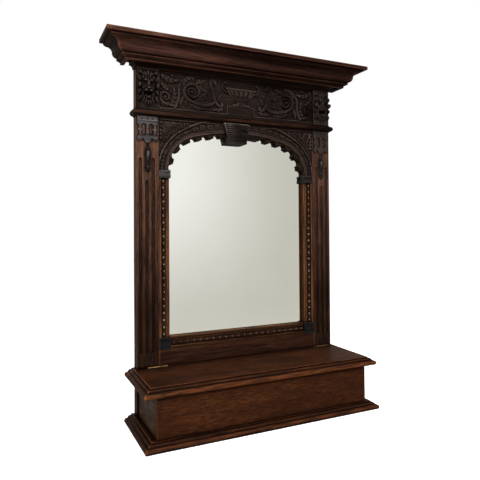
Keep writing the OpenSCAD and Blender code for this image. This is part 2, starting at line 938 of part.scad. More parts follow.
module strap_plate_right() {
  color(slate) placed() strap_plate();
}

// Split turned drop: two tapers that meet at the shoulder, a neck above and a ball below
module drop() {
  shoulder = drop_h * 0.66;
  neck = drop_h * 0.9;
  translate([half_w - stile_w / 2, 0, drop_low]) intersection() {
    union() {
      translate([0, 0, drop_ball]) sphere(drop_ball);
      translate([0, 0, drop_ball]) cylinder(h = shoulder - drop_ball, r1 = drop_r * 0.35, r2 = drop_r);
      translate([0, 0, shoulder]) cylinder(h = neck - shoulder, r1 = drop_r, r2 = drop_r * 0.4);
      translate([0, 0, neck]) cylinder(h = drop_h - neck, r = drop_r * 0.55);
    }
    block([-drop_r, -drop_r, 0], [drop_r, 0, drop_h]);
  }
}

module drop_left() {
  color(oak_carved) placed() mirror([1, 0, 0]) drop();
}

module drop_right() {
  color(oak_carved) placed() drop();
}

// Carved lion mask: a ground plate with a brow, cheeks, a muzzle, a chin and a tuft
module mask() {
  mask_h = bed_z - frieze_z;
  middle = frieze_z + mask_h * 0.52;
  translate([half_w - stile_w / 2, 0, 0]) {
    block([-mask_w / 2, -mask_plate_t, frieze_z], [mask_w / 2, 0, bed_z]);
    intersection() {
      union() {
        translate([0, mask_w / 2 - mask_out - mask_plate_t, middle]) sphere(mask_w / 2 - 1);
        translate([0, -mask_out + muzzle_r / 2, middle - muzzle_r]) sphere(muzzle_r);
        for (s = [-1, 1]) translate([s * muzzle_r * 0.8, -mask_out * 0.4, middle + muzzle_r])
          sphere(muzzle_r * 0.7);
        translate([0, -mask_out * 0.2, middle + mask_w * 0.55]) sphere(muzzle_r * 0.8);
        translate([0, -mask_out * 0.3, middle - mask_w * 0.6]) sphere(muzzle_r * 0.8);
      }
      block([-mask_w / 2, -2 * mask_out, frieze_z], [mask_w / 2, 0, bed_z]);
    }
  }
}

module mask_left() {
  color(oak_carved) placed() mirror([1, 0, 0]) mask();
}

module mask_right() {
  color(oak_carved) placed() mask();
}

module ring(outer, inner) {
  difference() {
    circle(outer);
    circle(inner);
  }
}

// A pointed leaf of length l that starts at the origin and points along +X
module leaf(l) {
  bend = l * 0.75;
  intersection() {
    translate([l / 2, bend - l * 0.2]) circle(bend);
    translate([l / 2, -bend + l * 0.2]) circle(bend);
  }
}

// The urn's side view: bowl, rim, stem and foot
module urn() {
  rim = panel_h * 0.22;
  lip = urn_half * 0.085;
  deep = rim * sqrt(2);
  bowl_r = (urn_half * urn_half + deep * deep) / (2 * deep);
  intersection() {
    translate([0, bowl_r - deep + rim]) circle(bowl_r);
    translate([-urn_half, -rim]) square([2 * urn_half, 2 * rim]);
  }
  translate([-urn_half - lip / 2, rim - lip / 2]) square([2 * urn_half + lip, lip]);
  translate([-urn_half * 0.13, -2 * rim]) square([urn_half * 0.26, 2 * rim]);
  translate([-urn_half * 0.45, -2 * rim - lip / 4]) square([urn_half * 0.9, 1.75 * lip]);
}

// Scrolls and leaves to the right of the urn, at a scale that suits the panel
module scrollwork() {
  scroll = min(panel_h, stile_in * 0.45);
  translate([stile_in * 0.63, 0]) {
    ring(scroll * 0.27, scroll * 0.19);
    circle(scroll * 0.1);
    for (t = [20 : 60 : 320]) rotate(t) translate([scroll * 0.24, 0]) leaf(scroll * 0.2);
  }
  translate([stile_in * 0.9, -scroll * 0.2]) {
    ring(scroll * 0.13, scroll * 0.07);
    rotate(75) translate([scroll * 0.1, 0]) leaf(scroll * 0.4);
  }
  translate([stile_in * 0.36, scroll * 0.2]) ring(scroll * 0.14, scroll * 0.08);
  translate([stile_in * 0.4, -scroll * 0.16]) {
    ring(scroll * 0.16, scroll * 0.09);
    rotate(10) translate([scroll * 0.12, 0]) leaf(scroll * 0.36);
  }
}

module frieze_panel() {
  color(oak_carved) placed() {
    slab(frieze_back, top_rail_y)
      translate([-stile_in, waist_z]) square([2 * stile_in, stile_top - waist_z]);
    translate([0, 0, frieze_z + panel_h / 2]) slab(frieze_back - relief_h, frieze_back) {
      urn();
      scrollwork();
      mirror([1, 0]) scrollwork();
    }
  }
}

// Runs a moulding's section (x is its projection) along the frame's front, mitred at both ends
module mitred_front(reach) {
  intersection() {
    run_x(-half_w - reach, half_w + reach) mirror([1, 0]) children();
    translate([0, 0, bed_z - waist_h - stile_top]) linear_extrude(3 * stile_top)
      polygon([[-half_w, 0], [-half_w - reach, -reach], [half_w + reach, -reach], [half_w, 0]]);
  }
}

// Runs the same section along the frame's right side, mitred at its front end
module mitred_side(reach) {
  intersection() {
    translate([half_w, 0, 0]) slab(-reach, frame_t) children();
    translate([0, 0, bed_z - waist_h - stile_top]) linear_extrude(3 * stile_top)
      polygon([[half_w, 0], [half_w + reach, -reach], [half_w + reach, frame_t], [half_w, frame_t]]);
  }
}

module waist_section() {
  translate([0, waist_z]) {
    square([waist_fillet, waist_h]);
    intersection() {
      translate([waist_fillet, waist_h / 2]) circle(waist_r);
      translate([0, 0]) square([waist_fillet + waist_r, waist_h]);
    }
  }
}

module waist_front() {
  color(oak_warm) placed() mitred_front(waist_fillet + waist_r) waist_section();
}

module waist_left() {
  color(oak_warm) placed() mirror([1, 0, 0]) mitred_side(waist_fillet + waist_r) waist_section();
}

module waist_right() {
  color(oak_warm) placed() mitred_side(waist_fillet + waist_r) waist_section();
}

module bed_section() {
  translate([0, bed_z]) difference() {
    square([bed_proj, bed_h]);
    translate([bed_proj - bed_r, -eps]) square([bed_r + eps, bed_foot + eps]);
    translate([bed_proj, bed_foot]) circle(bed_r);
  }
}

module bed_front() {
  color(oak) placed() mitred_front(bed_proj) bed_section();
}

module bed_left() {
  color(oak) placed() mirror([1, 0, 0]) mitred_side(bed_proj) bed_section();
}

module bed_right() {
  color(oak) placed() mitred_side(bed_proj) bed_section();
}

module cornice_board() {
  over = cornice_board_over;
  color(oak) placed() block([-half_w - over, -over, stile_top], [half_w + over, frame_t, crown_in_z]);
}

// Section of the crown: lip, astragal, wave, small round and top fillet, with a sloped back
module crown_section() {
  over = cornice_board_over;
  difference() {
    union() {
      polygon([[over, lip_z], [lip_out, lip_z], [lip_out, astragal_z],
        [wave_out, astragal_z + astragal_out / 2], [wave_out, round_z], [over, round_z]]);
      translate([wave_out, wave_z - astragal_h / 2]) circle(astragal_h / 2);
      intersection() {
        translate([wave_out, wave_z + wave_r]) circle(wave_r);
        translate([wave_out, wave_z]) square([wave_r, wave_r]);
      }
      difference() {
        translate([wave_out, wave_z + wave_r]) square([2 * wave_r, wave_r]);
        translate([round_out, wave_z + wave_r]) circle(wave_r);
      }
      translate([over, round_z]) square([round_out + step_out - over, crown_top - round_z]);
      intersection() {
        translate([round_out + step_out, fillet_z]) circle(top_round_r);
        translate([round_out, round_z + step_up]) square([top_round_r + step_out, top_round_r]);
      }
      translate([over, fillet_z]) square([crown_out - over, top_fillet_h]);
    }
    polygon([[over - eps, crown_in_z], [over, crown_in_z], [crown_out - crown_top_w, crown_top],
      [crown_out - crown_top_w, crown_top + eps], [over - eps, crown_top + eps]]);
  }
}

module crown_front() {
  color(oak) placed() mitred_front(crown_out) crown_section();
}

module crown_left() {
  color(oak) placed() mirror([1, 0, 0]) mitred_side(crown_out) crown_section();
}

module crown_right() {
  color(oak) placed() mitred_side(crown_out) crown_section();
}

// Section of a glue block in the corner between the cornice board and the crown's sloped back
module glue_section() {
  over = cornice_board_over;
  slope = (crown_top - crown_in_z) / (crown_out - crown_top_w - over);
  translate([over, crown_in_z])
    polygon([[-glue_w, 0], [0, 0], [glue_w, glue_w * slope], [-glue_w, glue_w * slope]]);
}

module glue_blocks() {
  color(pine) placed() {
    for (k = [-0.7, -0.25, 0.25, 0.7]) run_x(k * half_w - glue_l / 2, k * half_w + glue_l / 2)
      mirror([1, 0]) glue_section();
  }
}

module mirror_glass() {
  color(silvered) placed() block([-stile_in + glass_clear, surround_back, rail_top],
    [stile_in - glass_clear, rebate_y, waist_z - glass_clear]);
}

module back_plank(x0, x1) {
  color(pine) placed() difference() {
    block([x0, rebate_y, rail_top - rebate_w + glass_clear],
      [x1, rebate_y + plank_t, waist_z + rebate_w - glass_clear]);
    nail_holes();
  }
}

module back_plank_left() {
  back_plank(-stile_in - rebate_w + glass_clear, -plank_edge);
}

module back_plank_middle() {
  back_plank(-plank_edge, plank_edge);
}

module back_plank_right() {
  back_plank(plank_edge, stile_in + rebate_w - glass_clear);
}

module back_nails() {
  color(iron) placed() nail_spots() nail(0);
}

base_board();
box_front();
box_side_left();
box_side_right();
box_back();
lid();
lid_return_left();
lid_return_right();
hinge_left_lid_leaf();
hinge_left_frame_leaf();
hinge_left_pin();
hinge_right_lid_leaf();
hinge_right_frame_leaf();
hinge_right_pin();
lid_hinge_screws();
frame_hinge_screws();
stile_left();
stile_right();
bottom_rail();
top_rail();
slip_left();
slip_right();
slip_bottom();
bead_strip_left();
bead_strip_right();
bead_strip_bottom();
impost_left();
impost_right();
corner_block_left();
corner_block_right();
arch_left();
arch_right();
keystone();
strap_plate_left();
strap_plate_right();
drop_left();
drop_right();
mask_left();
mask_right();
frieze_panel();
waist_front();
waist_left();
waist_right();
bed_front();
bed_left();
bed_right();
cornice_board();
crown_front();
crown_left();
crown_right();
glue_blocks();
mirror_glass();
back_plank_left();
back_plank_middle();
back_plank_right();
back_nails();
base_screws();
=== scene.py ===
import math

import bmesh
import bpy
import numpy as np
from mathutils import Matrix, Vector


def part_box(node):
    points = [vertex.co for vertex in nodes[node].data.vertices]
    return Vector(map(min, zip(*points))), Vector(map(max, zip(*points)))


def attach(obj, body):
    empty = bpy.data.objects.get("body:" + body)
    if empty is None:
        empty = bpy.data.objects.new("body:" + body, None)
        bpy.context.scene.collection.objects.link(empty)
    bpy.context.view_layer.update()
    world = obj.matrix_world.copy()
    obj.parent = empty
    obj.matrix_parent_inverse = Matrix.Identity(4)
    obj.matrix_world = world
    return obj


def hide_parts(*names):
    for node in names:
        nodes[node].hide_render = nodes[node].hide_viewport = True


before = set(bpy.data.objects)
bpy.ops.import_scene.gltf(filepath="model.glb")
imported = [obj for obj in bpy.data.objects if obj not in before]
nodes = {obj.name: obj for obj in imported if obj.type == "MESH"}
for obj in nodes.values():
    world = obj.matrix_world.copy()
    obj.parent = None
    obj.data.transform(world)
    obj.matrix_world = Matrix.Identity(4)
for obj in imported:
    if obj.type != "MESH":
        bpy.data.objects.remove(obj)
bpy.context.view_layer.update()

# Camera
# A still camera on a stand, a little above the middle of the glass and left of the mirror.
# Its place and lens were solved from the straight edges of the frame, the lid and the cornice.

IMAGE_SIDE = 480
FOCAL_PIXELS = 519.63
AXIS_PIXEL = (269.01, 218.15)
SENSOR = 36.0
NEAREST = 0.02
camera_place = Vector((-0.60463, -1.28002, 0.50877))
camera_yaw, camera_pitch, camera_roll = 0.46945, 0.01838, -0.00785
scene = bpy.context.scene


def put(name, data):
    """Puts an object with this data in the scene."""
    made = bpy.data.objects.new(name, data)
    scene.collection.objects.link(made)
    return made


level_right = Vector((math.cos(camera_yaw), -math.sin(camera_yaw), 0))
level_ahead = Vector((math.sin(camera_yaw), math.cos(camera_yaw), 0))
plumb = Vector((0, 0, 1))
ahead = level_ahead * math.cos(camera_pitch) + plumb * math.sin(camera_pitch)
lifted = plumb * math.cos(camera_pitch) - level_ahead * math.sin(camera_pitch)
right = level_right * math.cos(camera_roll) + lifted * math.sin(camera_roll)
above = lifted * math.cos(camera_roll) - level_right * math.sin(camera_roll)

camera_data = bpy.data.cameras.new("camera")
camera_data.sensor_width = SENSOR
camera_data.lens = FOCAL_PIXELS / IMAGE_SIDE * SENSOR
camera_data.shift_x = (IMAGE_SIDE / 2 - AXIS_PIXEL[0]) / IMAGE_SIDE
camera_data.shift_y = (AXIS_PIXEL[1] - IMAGE_SIDE / 2) / IMAGE_SIDE
camera_data.clip_start = NEAREST
camera = put("camera", camera_data)
camera.matrix_world = Matrix((
    (right.x, above.x, -ahead.x, camera_place.x),
    (right.y, above.y, -ahead.y, camera_place.y),
    (right.z, above.z, -ahead.z, camera_place.z),
    (0, 0, 0, 1)))
scene.camera = camera

# Room
# A pale floor in a white room. Eyes and looking glass see both as plain white, and the floor
# keeps the mirror's shadow. Large soft lamps hang in front, overhead and behind.

def add(tree, kind, settings=None, **inputs):
    """Adds a node. An input is a number, a colour or the socket that feeds it, and i0 is the first one."""
    made = tree.nodes.new(kind)
    for key, value in (settings or {}).items():
        setattr(made, key, value)
    for key, value in inputs.items():
        numbered = key[0] == "i" and key[1:].isdigit()
        socket = made.inputs[int(key[1:]) if numbered else key.replace("_", " ")]
        if isinstance(value, bpy.types.NodeSocket):
            tree.links.new(value, socket)
        else:
            socket.default_value = value
    return made


def work_out(tree, operation, first, second):
    """The result of a sum with two numbers or sockets."""
    return add(tree, "ShaderNodeMath", {"operation": operation}, i0=first, i1=second).outputs[0]


def ranged(tree, value, low=0.0, high=1.0, to_low=0.0, to_high=1.0, kind="LINEAR"):
    """A value taken from one range to another and held inside it."""
    return add(tree, "ShaderNodeMapRange", {"interpolation_type": kind}, Value=value, From_Min=low,
               From_Max=high, To_Min=to_low, To_Max=to_high).outputs[0]


def blend(tree, amount, first, second):
    """The first colour where the amount is 0 and the second where it is 1."""
    return add(tree, "ShaderNodeMix", {"data_type": "RGBA"}, i0=amount, i6=first, i7=second).outputs[2]


def blank(name):
    """A new material without nodes, and its tree."""
    material = bpy.data.materials.new(name)
    material.use_nodes = True
    material.node_tree.nodes.clear()
    return material, material.node_tree


def seen_or_mirrored(tree):
    """1 for what the camera, a reflection or a clear glass sees, and 0 for the light on things."""
    path = add(tree, "ShaderNodeLightPath").outputs
    either = work_out(tree, "MAXIMUM", path["Is Camera Ray"], path["Is Glossy Ray"])
    return work_out(tree, "MAXIMUM", either, path["Is Transmission Ray"])


scene.view_settings.view_transform = "Standard"

ROOM_COLOUR, ROOM_LIGHT, WHITE = (1, 0.99, 0.97, 1), 0.3, (1, 1, 1, 1)
world = bpy.data.worlds.new("room")
world.use_nodes = True
scene.world = world
tree = world.node_tree
tree.nodes.clear()
soft_light = add(tree, "ShaderNodeBackground", Color=ROOM_COLOUR, Strength=ROOM_LIGHT)
white_wall = add(tree, "ShaderNodeBackground", Color=WHITE, Strength=1.0)
chosen = add(tree, "ShaderNodeMixShader", i0=seen_or_mirrored(tree),
             i1=soft_light.outputs[0], i2=white_wall.outputs[0])
add(tree, "ShaderNodeOutputWorld", Surface=chosen.outputs[0])

FLOOR_HALF, FLOOR_DROP = 7.0, 0.0003
FLOOR_COLOUR, MIRRORED_COLOUR = (0.82, 0.82, 0.81, 1), (0.1, 0.1, 0.1, 1)
FLOOR_LIFT, MIRRORED_LIFT = 0.78, 0.96
floor_mesh = bpy.data.meshes.new("floor")
floor_mesh.from_pydata([(x * FLOOR_HALF, y * FLOOR_HALF, -FLOOR_DROP)
                        for x, y in ((-1, -1), (1, -1), (1, 1), (-1, 1))], [], [(0, 1, 2, 3)])
floor = put("floor", floor_mesh)
floor_paint, tree = blank("floor_paint")
mirrored = add(tree, "ShaderNodeLightPath").outputs["Is Glossy Ray"]
matt = add(tree, "ShaderNodeBsdfDiffuse", Color=blend(tree, mirrored, FLOOR_COLOUR, MIRRORED_COLOUR))
share = ranged(tree, mirrored, to_low=FLOOR_LIFT, to_high=MIRRORED_LIFT)
lift = work_out(tree, "MULTIPLY", seen_or_mirrored(tree), share)
glow = add(tree, "ShaderNodeEmission", Color=WHITE, Strength=lift)
both = add(tree, "ShaderNodeAddShader", i0=matt.outputs[0], i1=glow.outputs[0])
add(tree, "ShaderNodeOutputMaterial", Surface=both.outputs[0])
floor_mesh.materials.append(floor_paint)

# Each lamp's place, the point it looks at, its side in metres, its watts and its spread in degrees
LAMPS = (("lamp_left", (-1.25, -1.9, 1.75), (-0.2, 0, 0.6), 1.3, 14, 75),
         ("lamp_right", (-0.1, -2.2, 2.1), (-0.1, 0, 0.45), 1.2, 8.5, 75),
         ("lamp_top", (0.1, -0.6, 2.6), (0, 0, 0.3), 1.0, 5, 80),
         ("lamp_behind", (0.6, 2.4, 1.8), (0, 0, 0.5), 1.6, 14, 90))
for name, place, aim, side, watts, angle in LAMPS:
    data = bpy.data.lights.new(name, "AREA")
    data.shape = "SQUARE"
    data.size = side
    data.energy = watts
    data.spread = math.radians(angle)
    way = Vector(aim) - Vector(place)
    lamp = put(name, data)
    lamp.matrix_world = Matrix.Translation(place) @ way.to_track_quat("-Z", "Y").to_matrix().to_4x4()

# Base board and box
# An oak base board with a moulded edge, and plain oak walls that stand on it, planed and waxed. Screws
# from below hold the front and the sides. The sides are painted paler and greyer than the front and back,
# as a painted sheen.

ARRIS, GRAIN_DEPTH, SHEEN = 0.0015, 0.0006, 0.004
# Colour of rubbed oak arrises, which also stands for painted glints on them.
RUBBED_GLINT = (0.15, 0.055, 0.022)


def shade_of(colour, share=1):
    """A colour times a share, as a shader takes it."""
    return (*(part * share for part in colour), 1)


def oak(name, pale, deep, worn_glint, along, run=1.0, wear_and_glint=0.5, dirt_and_shade=0.8, black=0.5, reach=0.014, rub=0.0045,
        painted_highlight=None, painted_shading=None):
    """Fumed and waxed oak, with its grain along axis 0, 1 or 2. Its marks are run times shorter than a
    plain board's. Hollows are painted dark within reach, as grime and painted shade, and arrises within
    rub take a paler colour, both rubbing and painted glints; reach and rub are in metres. The painted
    highlight lies on the heights of a carving: where it begins and is full on the way from front to back
    in metres, and its strength. The painted light and shade runs along an axis: two places on it in metres
    and how bright the wood is at each."""
    material, tree = blank(name)
    place = add(tree, "ShaderNodeTexCoord").outputs["Object"]

    def grain(across, lengthwise, detail):
        scale = [across, across, across]
        scale[along] = lengthwise * run
        turned = add(tree, "ShaderNodeMapping", Vector=place, Scale=scale)
        return add(tree, "ShaderNodeTexNoise", Vector=turned.outputs[0], Scale=1.0, Detail=detail,
                   Roughness=0.6, Distortion=0.25).outputs["Fac"]

    def spread(value, low, high):
        return ranged(tree, value, low, high, kind="SMOOTHSTEP")

    def times(first, second):
        return work_out(tree, "MULTIPLY", first, second)

    bands = grain(46, 4, 3)
    flames = grain(190, 14, 3)
    streaks = grain(260, 14, 4)
    pores = grain(900, 40, 2)
    patina = add(tree, "ShaderNodeTexNoise", Vector=place, Scale=7.0, Detail=3).outputs["Fac"]
    colour = blend(tree, spread(bands, 0.34, 0.66), shade_of(deep), shade_of(pale))
    for marks, low, high, strength, tone in (
            (flames, 0.48, 0.68, 0.5, shade_of(pale, 1.6)), (streaks, 0.46, 0.64, 0.65, shade_of(deep, 0.4)),
            (patina, 0.42, 0.62, 0.4, shade_of(deep, 0.6)), (pores, 0.54, 0.68, 0.55, shade_of(deep, 0.2))):
        colour = blend(tree, times(spread(marks, low, high), strength), colour, tone)
    # Painted light and shade: the wood is made brighter or darker along an axis, as the light falls.
    if painted_shading:
        axis, start, end, bright_at_start, bright_at_end = painted_shading
        spot = add(tree, "ShaderNodeSeparateXYZ", Vector=place).outputs[axis]
        bright = ranged(tree, spot, start, end, bright_at_start, bright_at_end)
        colour = add(tree, "ShaderNodeVectorMath", {"operation": "SCALE"}, i0=colour,
                     Scale=bright).outputs[0]
    # Arrises are painted in the paler worn colour: wear, and painted glints where light would catch them.
    corner = add(tree, "ShaderNodeAmbientOcclusion", {"samples": 6, "inside": True}, Distance=rub)
    rubbed_glint = times(spread(corner.outputs["AO"], 0.86, 0.5), times(spread(patina, 0.3, 0.62), wear_and_glint))
    colour = blend(tree, rubbed_glint, colour, shade_of(worn_glint))
    # Painted highlight on the most projecting heights of a carving, standing in for glints of light.
    if painted_highlight:
        begin, full, strength = painted_highlight
        depth = add(tree, "ShaderNodeSeparateXYZ", Vector=place).outputs["Y"]
        high = times(spread(depth, begin, full), times(spread(flames, 0.36, 0.6), strength))
        colour = blend(tree, high, colour, shade_of(worn_glint))
    # Hollows within reach are painted dark: grime, and painted shade where the light is cut off.
    hollow = add(tree, "ShaderNodeAmbientOcclusion", {"samples": 6}, Distance=reach)
    shaded = times(spread(hollow.outputs["AO"], 0.95, black), dirt_and_shade)
    colour = blend(tree, shaded, colour, shade_of(deep, 0.13))

    rough = ranged(tree, streaks, 0.3, 0.7, 0.33, 0.52)
    dents = work_out(tree, "ADD", times(streaks, 0.6), times(pores, 0.4))
    rounded = add(tree, "ShaderNodeBevel", {"samples": 6}, Radius=ARRIS)
    bump = add(tree, "ShaderNodeBump", {"invert": True}, Strength=0.35, Distance=GRAIN_DEPTH,
               Height=dents, Normal=rounded.outputs[0])
    skin = add(tree, "ShaderNodeBsdfPrincipled", Base_Color=colour, Roughness=rough, Normal=bump.outputs[0],
               Specular_IOR_Level=SHEEN)
    add(tree, "ShaderNodeOutputMaterial", Surface=skin.outputs[0])
    return material


def finish_with(material, *names):
    """Gives CAD nodes their finish."""
    for name in names:
        mesh = nodes[name].data
        mesh.materials.clear()
        mesh.materials.append(material)


box_oak_front = oak("box_oak_front", (0.046, 0.0146, 0.0054), (0.0285, 0.01, 0.0048), RUBBED_GLINT, 0,
                    run=3.0, wear_and_glint=0.3, dirt_and_shade=0.9)
# The sides are painted paler and greyer than the front: oak with a painted sheen.
box_oak_side_painted_sheen = oak("box_oak_side_painted_sheen", (0.072, 0.037, 0.017), (0.031, 0.018, 0.0105), RUBBED_GLINT, 1,
                   run=2.2, wear_and_glint=0.3)
# The base's nose has painted glints on its front, and its hollows painted shade.
base_oak = oak("base_oak", (0.034, 0.0132, 0.0066), (0.015, 0.0072, 0.0046), (0.17, 0.05, 0.016), 0,
               run=1.6, wear_and_glint=0.8, dirt_and_shade=1.0, black=0.74, reach=0.0105, rub=0.0065, painted_highlight=(-0.104, -0.113, 0.2))
finish_with(base_oak, "base_board")
finish_with(box_oak_front, "box_front", "box_back")
finish_with(box_oak_side_painted_sheen, "box_side_left", "box_side_right")

# Lid and lid returns
# One oak board with the same moulded edge, hinged to the frame. Two short pieces outside the
# stiles carry its edge to the back.

# The lid's nose has painted glints, and the strip at its back by the rail is painted darker as the rail's
# shadow and reflection.
lid_oak = oak("lid_oak", (0.041, 0.014, 0.0058), (0.019, 0.0086, 0.0052), (0.23, 0.072, 0.024), 0,
              run=1.6, wear_and_glint=0.85, dirt_and_shade=1.0, black=0.74, reach=0.0105, rub=0.0065, painted_highlight=(-0.1, -0.112, 0.5),
              painted_shading=("Y", 0.035, 0.083, 1.0, 0.58))
oak_crosswise = oak("oak_crosswise", (0.041, 0.0168, 0.01), (0.02, 0.0085, 0.0056), RUBBED_GLINT, 1)
finish_with(lid_oak, "lid")
finish_with(oak_crosswise, "lid_return_left", "lid_return_right")

# Hinges and screws
# Two cast brass butt hinges, let in flush with the wood and held by countersunk brass screws.
# The brass has gone dull and brown.

def two_tones(tree, value, low, first, high, second):
    """The first colour where a value is low, turning to the second where it is high."""
    ramp = add(tree, "ShaderNodeValToRGB", Fac=value)
    for end, position, colour in zip(ramp.color_ramp.elements, (low, high), (first, second)):
        end.position = position
        end.color = shade_of(colour)
    return ramp.outputs[0]


def metal(name, marks, tones, pitting, **skin):
    """A stained and pitted metal. marks is the scale of its stains, and tones says how they turn from one
    colour to another. Each value of its skin is a number, or a range that follows the stains."""
    material, tree = blank(name)
    place = add(tree, "ShaderNodeTexCoord").outputs["Object"]
    stain = add(tree, "ShaderNodeTexNoise", Vector=place, Scale=marks, Detail=4).outputs["Fac"]
    pits = add(tree, "ShaderNodeBump", Strength=pitting, Distance=PIT_DEPTH, Height=stain)
    skin = {key: ranged(tree, stain, *value) if isinstance(value, tuple) else value
            for key, value in skin.items()}
    surface = add(tree, "ShaderNodeBsdfPrincipled", Base_Color=two_tones(tree, stain, *tones),
                  Normal=pits.outputs[0], **skin)
    add(tree, "ShaderNodeOutputMaterial", Surface=surface.outputs[0])
    return material


PIT_DEPTH = 0.0003
brass = metal("brass", 110.0, (0.35, (0.028, 0.015, 0.007), 0.68, (0.15, 0.088, 0.034)), 0.3,
              Metallic=1.0, Roughness=(0.0, 1.0, 0.55, 0.32))
finish_with(brass, *[name for name in nodes if name.startswith("hinge_") or name.endswith("hinge_screws")])

# Stiles and rails
# Two fluted oak uprights with rails tenoned between them, planed, stained dark and waxed. The stiles
# are painted lighter towards their heads and darker towards their feet, as painted light and sheen.

# Painted light: the stiles brighten towards their heads.
oak_upright = oak("oak_upright", (0.034, 0.0163, 0.0104), (0.0168, 0.0086, 0.006), RUBBED_GLINT, 2, run=1.5,
                  dirt_and_shade=1.0, black=0.76, reach=0.009, painted_shading=("Z", 0.3, 0.76, 0.74, 2.85))
rail_oak = oak("rail_oak", (0.032, 0.0122, 0.0066), (0.018, 0.0077, 0.005), RUBBED_GLINT, 0)
finish_with(oak_upright, "stile_left", "stile_right")
finish_with(rail_oak, "bottom_rail", "top_rail")

# Glass surround
# Plain oak margins and slips glued in round the glass. The bottom slip is darker, with a painted
# highlight along its inner edge, where light falls on its upper face.

slip_upright = oak("slip_upright", (0.078, 0.031, 0.014), (0.039, 0.0155, 0.008), (0.24, 0.095, 0.032), 2,
                   wear_and_glint=1.0)
# The bottom slip carries a painted highlight along its inner edge by the glass.
slip_level = oak("slip_level", (0.03, 0.0118, 0.006), (0.0155, 0.0066, 0.0038), (0.24, 0.105, 0.042), 0,
                 wear_and_glint=0.55, dirt_and_shade=0.55, painted_highlight=(0.0965, 0.104, 0.8))
finish_with(slip_upright, "slip_left", "slip_right")
finish_with(slip_level, "slip_bottom")

# Corner and impost blocks
# Small square oak blocks stained slate black and glued in. The right impost is painted darker as shade,
# and the corner blocks are near black, stain and painted shade. The imposts are cut with a hollow
# between two fillets, and the corner blocks with a sunk square.

SLATE_WORN = (0.05, 0.045, 0.042)
slate = oak("slate_stain", (0.08, 0.0705, 0.069), (0.023, 0.0218, 0.0225), (0.08, 0.074, 0.07), 0, dirt_and_shade=0.9)
# The right impost's slate, painted darker as shade.
slate_shaded = oak("slate_shaded", (0.024, 0.0198, 0.0186), (0.009, 0.0085, 0.0085), SLATE_WORN, 0, dirt_and_shade=0.9)
# The corner blocks' slate: near-black stain, with painted shade.
slate_dark_shaded = oak("slate_dark_shaded", (0.013, 0.0118, 0.0118), (0.007, 0.0065, 0.0065), SLATE_WORN, 0, dirt_and_shade=0.9)
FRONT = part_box("stile_left")[0].y * 1000


def unit(value):
    """A value held between 0 and 1."""
    return np.clip(value, 0, 1)


def swell(value, low, high):
    """0 below low, 1 above high, and a smooth slope between."""
    part = unit((value - low) / (high - low))
    return part * part * (3 - 2 * part)


def carving(name, front, back, finish):
    """A closed carved board from its front, a grid of points in millimetres, and the plane of its back."""
    rows, columns = front.shape[:2]
    low, high = front[:, 0].copy(), front[:, -1].copy()
    low[:, 1] = high[:, 1] = back
    points = np.concatenate([front.reshape(-1, 3), low, high]) / 1000
    face = np.arange(rows * columns).reshape(rows, columns)
    below = rows * columns + np.arange(rows)
    behind = below + rows
    quads = [np.stack([face[:-1, :-1], face[1:, :-1], face[1:, 1:], face[:-1, 1:]], -1).reshape(-1, 4),
             np.stack([face[:-1, 0], below[:-1], below[1:], face[1:, 0]], -1),
             np.stack([face[1:, -1], behind[1:], behind[:-1], face[:-1, -1]], -1),
             np.stack([below[:-1], behind[:-1], behind[1:], below[1:]], -1)]
    ends = [[*face[0], behind[0], below[0]], [*face[-1][::-1], below[-1], behind[-1]]]
    mesh = bpy.data.meshes.new(name)
    mesh.from_pydata(points.tolist(), [],
                     np.concatenate(quads).tolist() + [[int(k) for k in end] for end in ends])
    return dress(name, mesh, finish)


def dress(name, mesh, finish, sharp=50):
    """Turns a mesh's faces outward, smooths all but its sharp edges and makes it a piece."""
    shape = bmesh.new()
    shape.from_mesh(mesh)
    bmesh.ops.recalc_face_normals(shape, faces=shape.faces)
    shape.to_mesh(mesh)
    shape.free()
    mesh.shade_smooth()
    mesh.set_sharp_from_angle(angle=math.radians(sharp))
    mesh.materials.clear()
    mesh.materials.append(finish)
    piece = put(name, mesh)
    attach(piece, "frame")
    return piece


def block(name, finish, sink):
    """A square block with a small chamfer round its face. sink gives how deep its face is cut, in
    millimetres, from the share of its height and the distance from its edge."""
    low, high = (corner * 1000 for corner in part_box(name))
    wide, tall = high.x - low.x, high.z - low.z
    across, up = np.meshgrid(np.linspace(0, wide, BLOCK_POINTS), np.linspace(0, tall, BLOCK_POINTS),
                             indexing="ij")
    margin = np.minimum(np.minimum(across, wide - across), np.minimum(up, tall - up))
    depth = sink(up / tall, margin) + BLOCK_CHAMFER * (1 - swell(margin, 0, BLOCK_CHAMFER))
    front = np.stack([low.x + across, low.y + depth, low.z + up], -1)
    made = carving(name + "_cut", front, high.y, finish)
    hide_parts(name)


BLOCK_POINTS, BLOCK_CHAMFER = 45, 1.1
SUNK_MARGIN, SUNK_SLOPE, SUNK_DEPTH = 4.5, 1.2, 1.8
HOLLOW_MIDDLE, HOLLOW_DEPTH = 0.56, 1.9
for hand, stain in (("left", slate), ("right", slate_shaded)):
    block("impost_" + hand, stain, lambda share, margin:
          HOLLOW_DEPTH * swell(np.abs(share - HOLLOW_MIDDLE), 0.14, 0.08))
    block("corner_block_" + hand, slate_dark_shaded, lambda share, margin:
          SUNK_DEPTH * swell(margin, SUNK_MARGIN, SUNK_MARGIN + SUNK_SLOPE))

# Arch boards
# Two oak boards let in between the stiles, jointed behind the keystone, with the arch cut out of
# them. A plain band, a chain of husks and a raised rib are carved along it, and rows of leaves and a
# line of beads outside the rib.

